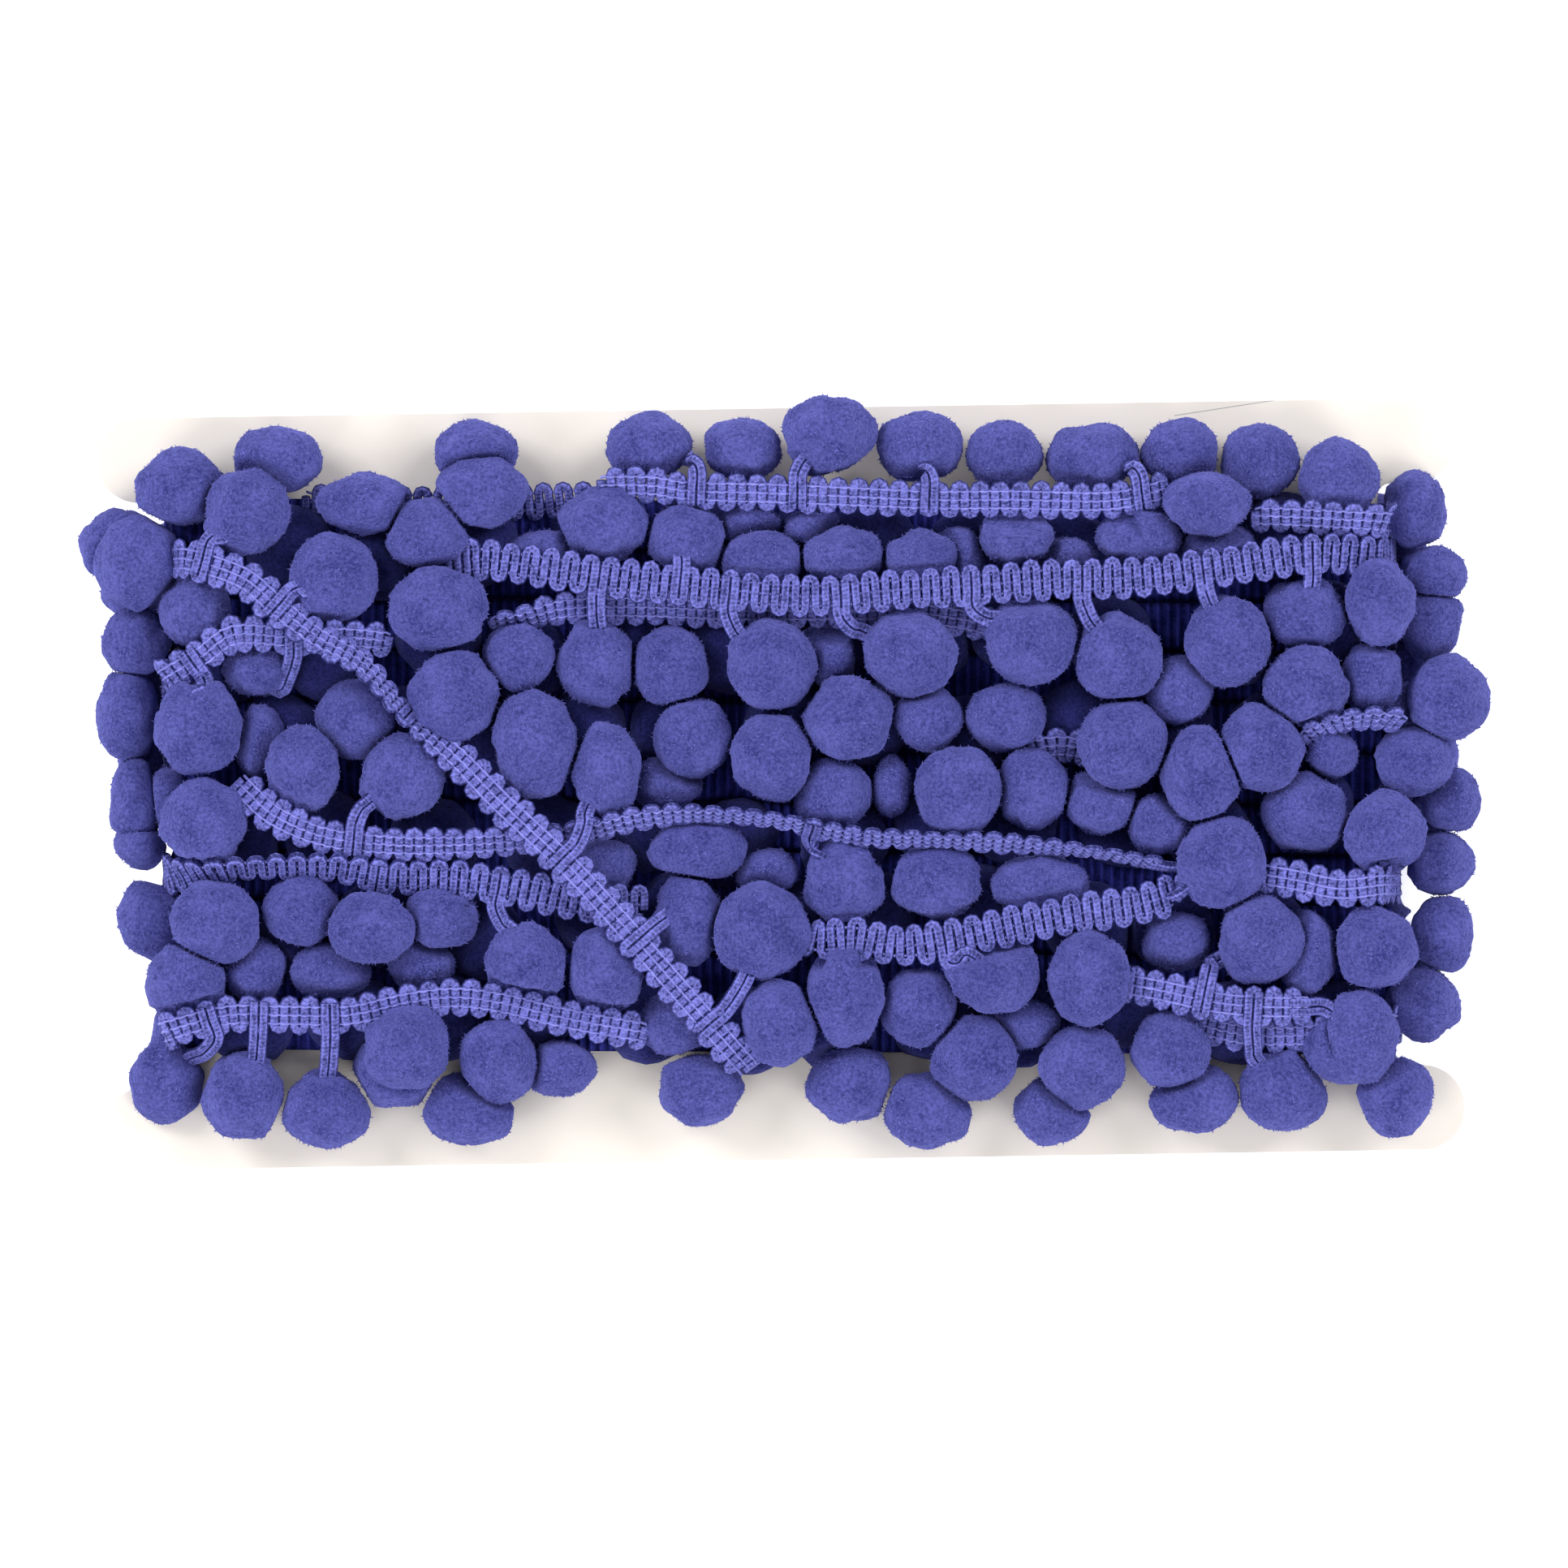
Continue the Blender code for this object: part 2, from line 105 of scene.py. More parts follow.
FRONT_COURSES = (
    Course("upper left", "low", (
        (341, 566, 57, 43), (586, 558, 52, 40), (318, 828, 42, 32), (668, 678, 40, 25),
    )),
    Course("upper left", "middle", (
        (222, 602, 57, 47), (449, 620, 57, 38), (527, 658, 55, 43), (594, 606, 56, 45),
        (240, 752, 44, 49), (638, 808, 44, 41), (438, 888, 48, 52),
    )),
    Course("upper left", "top", (
        (306, 630, 52, 52), (412, 711, 55, 56), (540, 750, 60, 53), (245, 899, 55, 57),
        (560, 858, 53, 58), (660, 917, 53, 66),
    )),
    Course("left side", "side", (
        (145, 672, 47, 46), (165, 792, 40, 45), (155, 880, 38, 58), (167, 990, 33, 60),
        (170, 1040, 30, 30), (204, 1334, 45, 51), (206, 985, 28, 40),
    )),
    Course("left side", "side alone", ((185, 1135, 41, 50),)),
    Course("left side", "side high", ((168, 692, 52, 58),)),
    Course("on the top tab", "low", (
        (798, 549, 52, 39), (915, 553, 47, 40), (1135, 550, 54, 43), (1236, 560, 47, 42),
        (1344, 563, 56, 42), (1455, 557, 48, 40), (1551, 569, 48, 46),
    )),
    Course("on the top tab", "middle", ((1022, 535, 57, 47), (1649, 589, 50, 47))),
    Course("under the top tab", "low", (
        (925, 648, 40, 25), (1000, 648, 35, 22), (1180, 685, 35, 35), (1316, 682, 34, 20),
        (1503, 670, 45, 25),
    )),
    Course("under the top tab", "middle", (
        (746, 645, 56, 45), (846, 664, 49, 42), (938, 690, 52, 35), (1038, 685, 52, 34),
        (1133, 688, 45, 34), (1252, 662, 48, 34), (1403, 662, 53, 33),
    )),
    Course("under the top tab", "top", ((1486, 620, 54, 38),)),
    Course("under the upper run", "low", ((1020, 805, 35, 40),)),
    Course("under the upper run", "middle", (
        (735, 818, 48, 53), (827, 821, 48, 49), (1454, 851, 43, 43), (1608, 757, 52, 43),
        (1690, 836, 38, 43), (853, 908, 47, 50), (1143, 884, 42, 42), (1238, 882, 50, 42),
    )),
    Course("under the upper run", "top", (
        (950, 820, 54, 57), (1122, 806, 54, 54), (1270, 791, 56, 54), (1378, 812, 53, 52),
        (1514, 791, 52, 55), (1700, 743, 40, 57), (1607, 847, 53, 52),
    )),
    Course("right side", "side", (
        (1746, 627, 38, 50), (1768, 708, 38, 38), (1763, 765, 40, 45), (1787, 985, 37, 42),
        (1778, 1063, 38, 42), (1755, 1236, 45, 45), (1737, 880, 32, 38),
    )),
    Course("right side", "side alone", ((1780, 1151, 40, 48),)),
    Course("right side", "side high", ((1784, 861, 49, 54), (1743, 938, 47, 45))),
    Course("middle", "low", (
        (820, 965, 45, 35), (1100, 968, 24, 40), (320, 915, 30, 45), (1640, 930, 33, 28),
    )),
    Course("middle", "middle", (
        (1027, 977, 48, 44), (1272, 972, 46, 50), (1357, 988, 44, 42), (1428, 1013, 40, 37),
        (1607, 1001, 55, 49),
    )),
    Course("middle", "top", (
        (253, 1014, 53, 55), (375, 948, 46, 53), (498, 956, 52, 52), (748, 948, 43, 57),
        (950, 932, 50, 55), (1045, 886, 55, 52), (1181, 975, 54, 56), (1382, 918, 55, 57),
        (1478, 954, 49, 61), (1553, 922, 52, 56), (1706, 1026, 50, 52),
    )),
    Course("lower left", "low", (
        (315, 1195, 38, 42), (408, 1197, 50, 35), (520, 1187, 42, 33), (745, 1068, 38, 34),
    )),
    Course("lower left", "middle", ((371, 1121, 46, 44), (543, 1130, 48, 38))),
    Course("lower left", "top", (
        (265, 1137, 55, 53), (230, 1213, 50, 52), (458, 1145, 54, 43), (648, 1190, 50, 52),
        (746, 1197, 46, 55),
    )),
    Course("lower middle", "low", (
        (945, 1075, 38, 30), (832, 1262, 48, 38), (1262, 1262, 45, 30), (1450, 1158, 42, 37),
    )),
    Course("lower middle", "middle", (
        (861, 1049, 60, 37), (847, 1133, 42, 58), (1040, 1089, 49, 52), (1155, 1087, 55, 46),
        (1281, 1090, 62, 36), (1132, 1243, 48, 49), (1607, 1173, 40, 52), (1650, 1292, 45, 45),
    )),
    Course("lower middle", "top", (
        (939, 1146, 59, 59), (961, 1260, 48, 53), (1041, 1226, 50, 60), (1224, 1196, 57, 52),
        (1341, 1205, 50, 60), (1506, 1061, 54, 59), (1553, 1156, 52, 54), (1694, 1167, 50, 49),
        (1677, 1277, 45, 57),
    )),
    Course("on the bottom tab", "low", (
        (299, 1350, 50, 54), (403, 1369, 53, 48), (488, 1318, 52, 48), (578, 1365, 57, 46),
        (688, 1318, 45, 34), (863, 1340, 52, 44), (1048, 1336, 54, 47), (1142, 1368, 58, 46),
        (1296, 1368, 48, 44), (1471, 1351, 55, 46), (1583, 1344, 54, 49), (1719, 1350, 46, 50),
    )),
    Course("on the bottom tab", "middle", (
        (615, 1307, 48, 50), (1200, 1304, 52, 53), (1333, 1313, 53, 52), (1443, 1292, 49, 47),
    )),
    Course("on the bottom tab", "top", ((502, 1290, 53, 54),)),
)

# Bends are x, y, lift in mm and tilt in degrees
FRONT_RUNS = (
    Run("top", "grid", 4.6 * MM, "", (
        (735, 598, 8.6, 20), (800, 598, 9.4, 25), (850, 605, 9.8, 25), (950, 608, 9.8, 15),
        (1050, 612, 10.2, 20), (1150, 616, 10.0, 25), (1250, 616, 10.0, 20),
        (1350, 618, 9.8, 20), (1400, 612, 9.6, 25), (1440, 600, 8.6, 25),
    )),
    Run("top left", "loops", 4.6 * MM, "", (
        (370, 618, 3.2, 25), (470, 620, 3.2, 25), (560, 620, 3.2, 25), (660, 618, 3.4, 25),
        (745, 612, 4.2, 25),
    )),
    Run("upper", "loops", 4.9 * MM, "right", (
        (560, 690, 8.0, 10), (600, 690, 9.6, 5), (650, 697, 10.6, 0), (740, 710, 11.2, 0),
        (800, 718, 11.4, 0), (900, 728, 11.4, 5), (1000, 735, 11.4, 0), (1100, 728, 11.2, 0),
        (1200, 722, 11.4, 0), (1300, 715, 11.4, 5), (1400, 712, 11.2, 0), (1500, 700, 11.0, 0),
        (1600, 684, 10.2, 5), (1650, 683, 8.6, 5), (1700, 687, 6.2, 0),
    )),
    Run("under the upper", "grid", 4.6 * MM, "", (
        (600, 766, 7.6, 60), (640, 762, 8.0, 60), (680, 752, 8.2, 35), (720, 748, 8.0, 20),
        (800, 748, 7.8, 15), (900, 752, 7.8, 15), (1000, 752, 7.6, 15), (1100, 752, 7.6, 15),
        (1180, 762, 7.4, 15), (1240, 775, 7.0, 15),
    )),
    Run("upper right", "grid", 4.6 * MM, "right", (
        (1540, 635, 8.6, 30), (1600, 637, 9.0, 30), (1700, 642, 8.0, 30),
    )),
    Run("left", "grid", 4.6 * MM, "left", (
        (205, 835, 8.4, 25), (250, 808, 9.8, 20), (290, 782, 10.2, 15), (360, 785, 10.2, 20),
        (430, 785, 9.8, 25), (485, 790, 8.8, 30),
    )),
    Run("slanting", "grid", 4.8 * MM, "left", (
        (235, 690, 9.8, 0), (300, 712, 11.6, -5), (340, 745, 12.4, -15), (390, 785, 12.6, -32),
        (450, 820, 12.4, -50), (500, 880, 11.8, -62), (560, 930, 12.2, -25),
        (620, 990, 12.8, 0), (700, 1065, 13.2, 0), (760, 1130, 13.0, 0), (830, 1210, 12.2, 0),
        (900, 1290, 10.4, 0), (925, 1318, 8.0, 10),
    )),
    Run("middle", "grid", 4.7 * MM, "", (
        (292, 962, 8.2, 0), (305, 975, 9.4, 0), (340, 1005, 10.4, 10), (400, 1030, 10.8, 25),
        (480, 1040, 10.8, 30), (560, 1040, 10.6, 35), (640, 1035, 10.4, 45),
        (720, 1025, 10.6, 55), (780, 1010, 10.8, 50), (850, 1003, 11.2, 62),
        (950, 1010, 11.0, 68), (1050, 1030, 10.8, 60), (1150, 1035, 10.8, 66),
        (1250, 1040, 10.4, 60), (1350, 1050, 9.8, 74), (1430, 1065, 8.6, 70),
    )),
    Run("under the middle", "loops", 4.8 * MM, "left", (
        (252, 1077, 8.4, 48), (300, 1070, 9.2, 60), (400, 1068, 9.4, 50), (480, 1080, 9.2, 35),
        (560, 1083, 9.2, 20), (640, 1095, 9.2, 5), (720, 1112, 9.0, 0), (800, 1115, 8.0, 0),
    )),
    Run("lower middle", "loops", 4.9 * MM, "", (
        (985, 1150, 8.6, 0), (1010, 1158, 9.6, 0), (1050, 1155, 10.2, 0), (1110, 1165, 10.6, 0),
        (1180, 1155, 10.8, 5), (1250, 1140, 10.8, 5), (1330, 1125, 10.6, 5),
        (1400, 1115, 10.0, 5), (1450, 1100, 8.4, 10),
    )),
    Run("lower right", "grid", 4.7 * MM, "", (
        (1375, 1210, 8.6, 10), (1430, 1220, 10.2, 5), (1500, 1235, 10.6, 5),
        (1560, 1240, 10.4, 5), (1615, 1240, 9.0, 10),
    )),
    Run("right", "grid", 4.7 * MM, "right", (
        (1550, 1076, 8.6, 10), (1600, 1085, 10.2, 5), (1650, 1095, 10.4, 5),
        (1700, 1090, 9.4, 10),
    )),
    Run("right upper", "grid", 4.6 * MM, "", (
        (1600, 910, 8.4, 50), (1650, 890, 9.8, 55), (1700, 885, 9.4, 55), (1730, 890, 7.6, 50),
    )),
    Run("lower left", "grid", 4.7 * MM, "left", (
        (205, 1270, 8.0, 20), (280, 1250, 9.6, 20), (350, 1250, 9.8, 20), (430, 1250, 9.8, 20),
        (500, 1235, 10.0, 20), (560, 1228, 10.0, 20), (620, 1235, 9.8, 20),
        (680, 1250, 9.4, 15), (740, 1262, 9.0, 15), (800, 1272, 8.0, 20),
    )),
    Run("bottom right", "grid", 4.7 * MM, "right", (
        (1440, 1250, 6.6, 20), (1520, 1272, 7.2, 25), (1600, 1275, 7.6, 25),
        (1700, 1262, 6.6, 25),
    )),
    Run("under the right", "grid", 4.7 * MM, "", (
        (1255, 928, 5.4, 25), (1300, 918, 6.2, 25), (1350, 924, 5.4, 25),
    )),
)

# Legs are from the run to the pompom, as x, y and lift in mm
FRONT_LEGS = (
    Leg((862, 592), 10.2, (852, 566), 7.2), Leg((985, 590), 10.2, (1000, 562), 8.8),
    Leg((1140, 596), 10.4, (1138, 574), 7.0), Leg((1400, 596), 10.0, (1388, 574), 7.2),
    Leg((738, 708), 11.8, (738, 778), 9.6), Leg((893, 738), 11.8, (916, 788), 11.0),
    Leg((1040, 742), 11.8, (1062, 778), 9.0), Leg((1199, 732), 11.8, (1232, 764), 11.0),
    Leg((1330, 724), 11.8, (1352, 776), 11.0), Leg((1477, 712), 11.6, (1496, 752), 11.2),
    Leg((1620, 694), 11.2, (1612, 730), 9.0), Leg((835, 704), 11.4, (836, 672), 10.6),
    Leg((245, 818), 10.0, (246, 858), 11.2), Leg((365, 800), 10.6, (345, 850), 6.4),
    Leg((256, 690), 11.2, (276, 662), 11.4), Leg((350, 745), 13.0, (380, 728), 12.4),
    Leg((520, 862), 12.6, (542, 850), 13.2), Leg((705, 1048), 13.4, (722, 1000), 11.6),
    Leg((800, 1150), 13.2, (824, 1128), 10.2), Leg((905, 1240), 12.0, (922, 1196), 11.8),
    Leg((440, 1022), 11.2, (452, 992), 11.6), Leg((1000, 1028), 11.2, (1012, 1058), 9.6),
    Leg((465, 1078), 10.0, (462, 1112), 11.2),
    Leg((612, 1098), 9.8, (632, 1148), 11.4), Leg((1160, 1168), 11.2, (1190, 1176), 11.2),
    Leg((1478, 1218), 11.0, (1492, 1188), 7.6), Leg((1545, 1258), 10.6, (1546, 1304), 7.6),
    Leg((1606, 1240), 10.0, (1650, 1262), 10.6), Leg((264, 1266), 10.0, (234, 1304), 3.6),
    Leg((325, 1262), 10.2, (316, 1304), 7.6), Leg((402, 1262), 10.2, (404, 1326), 7.4),
    Leg((1445, 1066), 9.4, (1446, 1106), 10.0), Leg((527, 664), 9.6, (500, 660), 9.4),
)
charted = sum(len(course.pompoms) for course in FRONT_COURSES)
print(len(FRONT_RUNS), "runs and", charted, "pompoms are charted")

# %% [markdown]
# ## Finishes
# All the yarn finishes share a mottle: dye takes a little unevenly in fibre, and felt has small
# pits, which are lowered in the bump and painted darker as painted shade. So the mottle is one
# node group with named inputs, built once. It reads Object coordinates, which stay with the
# mesh, and puts out a value for colour and a height for bump.

# %% Mottle
PIT_SCALE = 900.0
PIT_FROM = 0.57
BROAD_HEIGHT = 0.4
MOTTLE_INPUTS = {"Dye scale": 300.0, "Fibre scale": 2500.0, "Fleck share": 0.5, "Pit share": 0.0}


def noise(tree, coordinates, scale, detail, roughness=0.55):
    node = tree.nodes.new("ShaderNodeTexNoise")
    node.inputs["Detail"].default_value = detail
    node.inputs["Roughness"].default_value = roughness
    tree.links.new(coordinates, node.inputs["Vector"])
    if isinstance(scale, (int, float)):
        node.inputs["Scale"].default_value = scale
    else:
        tree.links.new(scale, node.inputs["Scale"])
    return node.outputs["Fac"]


def maths(tree, operation, *values):
    node = tree.nodes.new("ShaderNodeMath")
    node.operation = operation
    for socket, value in zip(node.inputs, values):
        if isinstance(value, (int, float)):
            socket.default_value = value
        else:
            tree.links.new(value, socket)
    return node.outputs["Value"]


def fibre_mottle_group():
    """Broad unevenness of the dye with fine flecks of fibre in it, and the height of the fibre."""
    group = bpy.data.node_groups.new("fibre_mottle", "ShaderNodeTree")
    sockets = group.interface
    for name, value in MOTTLE_INPUTS.items():
        socket = sockets.new_socket(name, in_out="INPUT", socket_type="NodeSocketFloat")
        socket.default_value = value
    for name in ("Dye", "Height"):
        sockets.new_socket(name, in_out="OUTPUT", socket_type="NodeSocketFloat")
    inside = group.nodes.new("NodeGroupInput")
    outside = group.nodes.new("NodeGroupOutput")
    place = group.nodes.new("ShaderNodeTexCoord").outputs["Object"]
    broad = noise(group, place, inside.outputs["Dye scale"], detail=2.0)
    fibre = noise(group, place, inside.outputs["Fibre scale"], detail=3.0, roughness=0.7)
    fleck = maths(group, "SUBTRACT", fibre, 0.5)
    share = inside.outputs["Fleck share"]
    dye = maths(group, "ADD", broad, maths(group, "MULTIPLY", fleck, share))
    pit_depth_and_painted_shade = maths(group, "SUBTRACT", noise(group, place, PIT_SCALE, detail=2.0), PIT_FROM)
    pit_depth_and_painted_shade = maths(group, "MULTIPLY", maths(group, "MAXIMUM", pit_depth_and_painted_shade, 0.0), inside.outputs["Pit share"])
    # The pits are lowered in the height and painted darker as painted shade
    dye = maths(group, "SUBTRACT", dye, pit_depth_and_painted_shade)
    height = maths(group, "MULTIPLY_ADD", broad, BROAD_HEIGHT, fibre)
    height = maths(group, "SUBTRACT", height, pit_depth_and_painted_shade)
    group.links.new(dye, outside.inputs["Dye"])
    group.links.new(height, outside.inputs["Height"])
    return group


fibre_mottle = fibre_mottle_group()
print("node group:", fibre_mottle.name)

# %% [markdown]
# Each finish is a Principled shader. The ramp turns the mottle into two near shades of the
# same dye, the bump gives the matted surface, and the sheen gives the pale edge that light
# catches in the loose fibre ends.

# %% Yarn finishes
# Each dye as its dark and its light shade
PLUSH_SHADES = (0.043, 0.046, 0.222), (0.134, 0.140, 0.485)
# The plush painted darker as painted shade, for the layer against the card and the sleeve
PAINTED_SHADE_PLUSH_SHADES = (0.013, 0.014, 0.092), (0.038, 0.042, 0.232)
# The plush's dye painted paler as painted light, for the loose fibre ends
FUZZ_PAINTED_LIGHT_SHADES = (0.090, 0.095, 0.380), (0.210, 0.218, 0.680)
CORD_SHADES = (0.026, 0.029, 0.160), (0.248, 0.256, 0.790)
# The cord's dye painted darker as painted shade, for the deeper turns
DEEP_PAINTED_SHADE_SHADES = (0.008, 0.011, 0.120), (0.050, 0.058, 0.420)
THREAD_SHADES = (0.150, 0.156, 0.540), (0.290, 0.300, 0.830)
BOARD_SHADES = (0.940, 0.875, 0.780), (0.965, 0.905, 0.815)
SHEEN_BLUE = (0.32, 0.34, 0.95, 1.0)


def set_inputs(node, inputs):
    """Puts values on a node's inputs, which are named with _ for a space."""
    for name, value in inputs.items():
        node.inputs[name.replace("_", " ")].default_value = value


def finish(name, **inputs):
    """A new material, its nodes and its shader with values on it."""
    made = bpy.data.materials.new(name)
    made.use_nodes = True
    shader = made.node_tree.nodes["Principled BSDF"]
    set_inputs(shader, inputs)
    return made, made.node_tree, shader


def mottle(tree, **inputs):
    node = tree.nodes.new("ShaderNodeGroup")
    node.node_tree = fibre_mottle
    set_inputs(node, inputs)
    return node.outputs["Dye"], node.outputs["Height"]


def ramp(tree, factor, shades, low, high):
    """The dark shade up to a low factor, the light one from a high factor on."""
    node = tree.nodes.new("ShaderNodeValToRGB")
    for element, place, shade in zip(node.color_ramp.elements, (low, high), shades):
        element.position = place
        element.color = (*shade, 1.0)
    tree.links.new(factor, node.inputs["Fac"])
    return node.outputs["Color"]


def tint(tree, shader, factor, shades, low, high):
    tree.links.new(ramp(tree, factor, shades, low, high), shader.inputs["Base Color"])


def bump(tree, shader, height, **inputs):
    node = tree.nodes.new("ShaderNodeBump")
    set_inputs(node, inputs)
    tree.links.new(height, node.inputs["Height"])
    tree.links.new(node.outputs["Normal"], shader.inputs["Normal"])


def plush_finish(name, shades):
    """Felted acrylic: matt, finely flecked, with a faint bloom at the edge."""
    made, tree, shader = finish(
        name, Roughness=0.95, Diffuse_Roughness=1.0, Specular_IOR_Level=0.05,
        Sheen_Weight=0.4, Sheen_Roughness=0.5, Sheen_Tint=SHEEN_BLUE,
    )
    dye, height = mottle(tree, Dye_scale=260.0, Fibre_scale=2600.0, Fleck_share=2.2, Pit_share=1.3)
    tint(tree, shader, dye, shades, low=0.10, high=0.88)
    bump(tree, shader, height, Strength=0.9, Distance=0.3 * MM)
    return made


def fuzz_finish():
    """Fibre ends that stand off the felt and catch light, and are coloured paler than it as
    painted light.
    """
    made, tree, shader = finish(
        "loose_fibre", Roughness=0.9, Diffuse_Roughness=1.0, Specular_IOR_Level=0.1,
    )
    dye, _ = mottle(tree, Dye_scale=500.0, Fibre_scale=2600.0, Fleck_share=0.6)
    tint(tree, shader, dye, FUZZ_PAINTED_LIGHT_SHADES, low=0.25, high=0.75)
    return made


def thread_finish():
    """The fine, slightly shiny threads that hold the braid."""
    made, tree, shader = finish("braid_thread", Roughness=0.45, Specular_IOR_Level=0.35)
    dye, height = mottle(tree, Dye_scale=700.0, Fibre_scale=3600.0, Fleck_share=0.8)
    tint(tree, shader, dye, THREAD_SHADES, low=0.25, high=0.75)
    bump(tree, shader, height, Strength=0.4, Distance=0.05 * MM)
    return made


plush = plush_finish("plush", PLUSH_SHADES)
plush_painted_shade = plush_finish("plush_painted_shade", PAINTED_SHADE_PLUSH_SHADES)
fuzz = fuzz_finish()
print("finishes:", [made.name for made in (plush, plush_painted_shade, fuzz)])

# %% [markdown]
# The cord of the braid is a thread wound round a core. Its cover could be modelled, but it is
# finer than a tenth of a millimetre. So the finish follows the cord by its own UV map: across
# is the share of the way round it, and up is the length along it in mm. A slanting stripe gives
# the cover. A ramp from the cord's top to its flank paints a pale rim as painted highlight and a
# dark join to the next pass as painted shade. The deeper turns have the passes themselves as
# stripes.

# %% Cord finishes
# Turns of the cover in each mm of cord
COVER_TURNS = 2.2
COVER_SHARE = 0.13
COVER_HEIGHT = 0.4
CORD_DYE_SHARE = 1.15
CORD_DYE_LOWERED = -0.60
# Painted highlight and painted shade at steps from the cord's top, at 0, to its flank, at 1
PAINTED_RIM_LIGHT_AND_SHADE = {
    "loops": ((0.0, 0.38), (0.45, 0.88), (0.62, 0.66), (0.78, 0.02)),
    "grid": ((0.0, 0.53), (0.40, 0.68), (0.60, 0.50), (0.84, 0.05)),
}
DEEP_PASS = 1.13
DEEP_SHARE = 0.2
DEEP_HEIGHT = 1.5
FULL_TURN = 2 * math.pi


def round_and_along(tree):
    """How far round the cord, from 0 to 1, and how far along it, in mm."""
    uv = tree.nodes.new("ShaderNodeUVMap")
    uv.uv_map = "along"
    split = tree.nodes.new("ShaderNodeSeparateXYZ")
    tree.links.new(uv.outputs["UV"], split.inputs["Vector"])
    return split.outputs["X"], split.outputs["Y"]


def cord_finish(face):
    """Covered cord, with a painted highlight on its rims and painted shade where it meets the next
    pass.
    """
    made, tree, shader = finish(
        f"braid_cord_{face}", Roughness=0.6, Diffuse_Roughness=0.6, Specular_IOR_Level=0.2,
        Sheen_Weight=0.15, Sheen_Tint=SHEEN_BLUE,
    )
    dye, height = mottle(tree, Dye_scale=900.0, Fibre_scale=2800.0, Fleck_share=2.0)
    around, along = round_and_along(tree)
    turned = maths(tree, "MULTIPLY_ADD", along, COVER_TURNS, around)
    stripe = maths(tree, "SINE", maths(tree, "MULTIPLY", turned, FULL_TURN))
    beside = maths(tree, "COSINE", maths(tree, "MULTIPLY", around, FULL_TURN))
    beside = maths(tree, "MULTIPLY", beside, beside)
    (low, dark), (high, light), *further = PAINTED_RIM_LIGHT_AND_SHADE[face]
    # Painted highlight on the cord's rims and painted shade at its join to the next pass
    painted_rim = ramp(tree, beside, ((dark,) * 3, (light,) * 3), low, high)
    for place, value in further:
        painted_rim.node.color_ramp.elements.new(place).color = (value, value, value, 1.0)
    dyed = maths(tree, "MULTIPLY_ADD", dye, CORD_DYE_SHARE, CORD_DYE_LOWERED)
    dye_and_painted_rim = maths(tree, "ADD", maths(tree, "MULTIPLY_ADD", stripe, COVER_SHARE, dyed), painted_rim)
    tint(tree, shader, dye_and_painted_rim, CORD_SHADES, low=0.0, high=1.0)
    height = maths(tree, "MULTIPLY_ADD", stripe, COVER_HEIGHT, height)
    bump(tree, shader, height, Strength=0.8, Distance=0.14 * MM)
    return made


def woven_painted_shade_finish():
    """The deeper turns: passes of cord, as dark and light stripes across the band, in shades of
    the cord painted darker as painted shade.
    """
    made, tree, shader = finish("deep_braid_painted_shade", Roughness=0.8, Specular_IOR_Level=0.1)
    dye, height = mottle(tree, Dye_scale=600.0, Fibre_scale=3400.0, Fleck_share=0.8)
    _, along = round_and_along(tree)
    stripe = maths(tree, "SINE", maths(tree, "MULTIPLY", along, FULL_TURN / DEEP_PASS))
    striped = maths(tree, "MULTIPLY_ADD", stripe, DEEP_SHARE, dye)
    tint(tree, shader, striped, DEEP_PAINTED_SHADE_SHADES, low=0.2, high=0.8)
    height = maths(tree, "MULTIPLY_ADD", stripe, DEEP_HEIGHT, height)
    bump(tree, shader, height, Strength=0.9, Distance=0.25 * MM)
    return made


cord, grid_cord = cord_finish("loops"), cord_finish("grid")
thread, woven_painted_shade = thread_finish(), woven_painted_shade_finish()
print("finishes:", [made.name for made in (cord, grid_cord, thread, woven_painted_shade)])

# %% [markdown]
# The board is nearly plain, so it needs little: a faint cloud and a fine tooth. One scored line
# crosses its top tab. It is too fine to cut, so it is a mask in the finish: three comparisons
# are 1 beside the line, within its length and on the front face, and their product is the line.

# %% Board finish
SLIT_START = (1448, 511)
SLIT_END = (1578, 491)
SLIT_HALF_WIDTH = 0.055 * MM
SLIT_GREY = (0.50, 0.49, 0.46)


def near(tree, place, axis, wanted, margin):
    """1 where a place lies within a margin of a wanted distance along an axis."""
    node = tree.nodes.new("ShaderNodeVectorMath")
    node.operation = "DOT_PRODUCT"
    tree.links.new(place, node.inputs[0])
    node.inputs[1].default_value = axis
    return maths(tree, "COMPARE", node.outputs["Value"], wanted.dot(axis), margin)


def slit_mask(tree, place):
    """1 on the fine scored line of the top tab, and 0 elsewhere."""
    start = Vector((*seen(*SLIT_START), CARD_FRONT))
    end = Vector((*seen(*SLIT_END), CARD_FRONT))
    along = (end - start).normalized()
    across = Vector((-along.y, along.x, 0.0))
    middle = (start + end) / 2
    beside = near(tree, place, across, middle, SLIT_HALF_WIDTH)
    within = near(tree, place, along, middle, (end - start).length / 2)
    on_front = near(tree, place, Vector((0.0, 0.0, 1.0)), middle, SLIT_HALF_WIDTH)
    return maths(tree, "MULTIPLY", maths(tree, "MULTIPLY", beside, within), on_front)


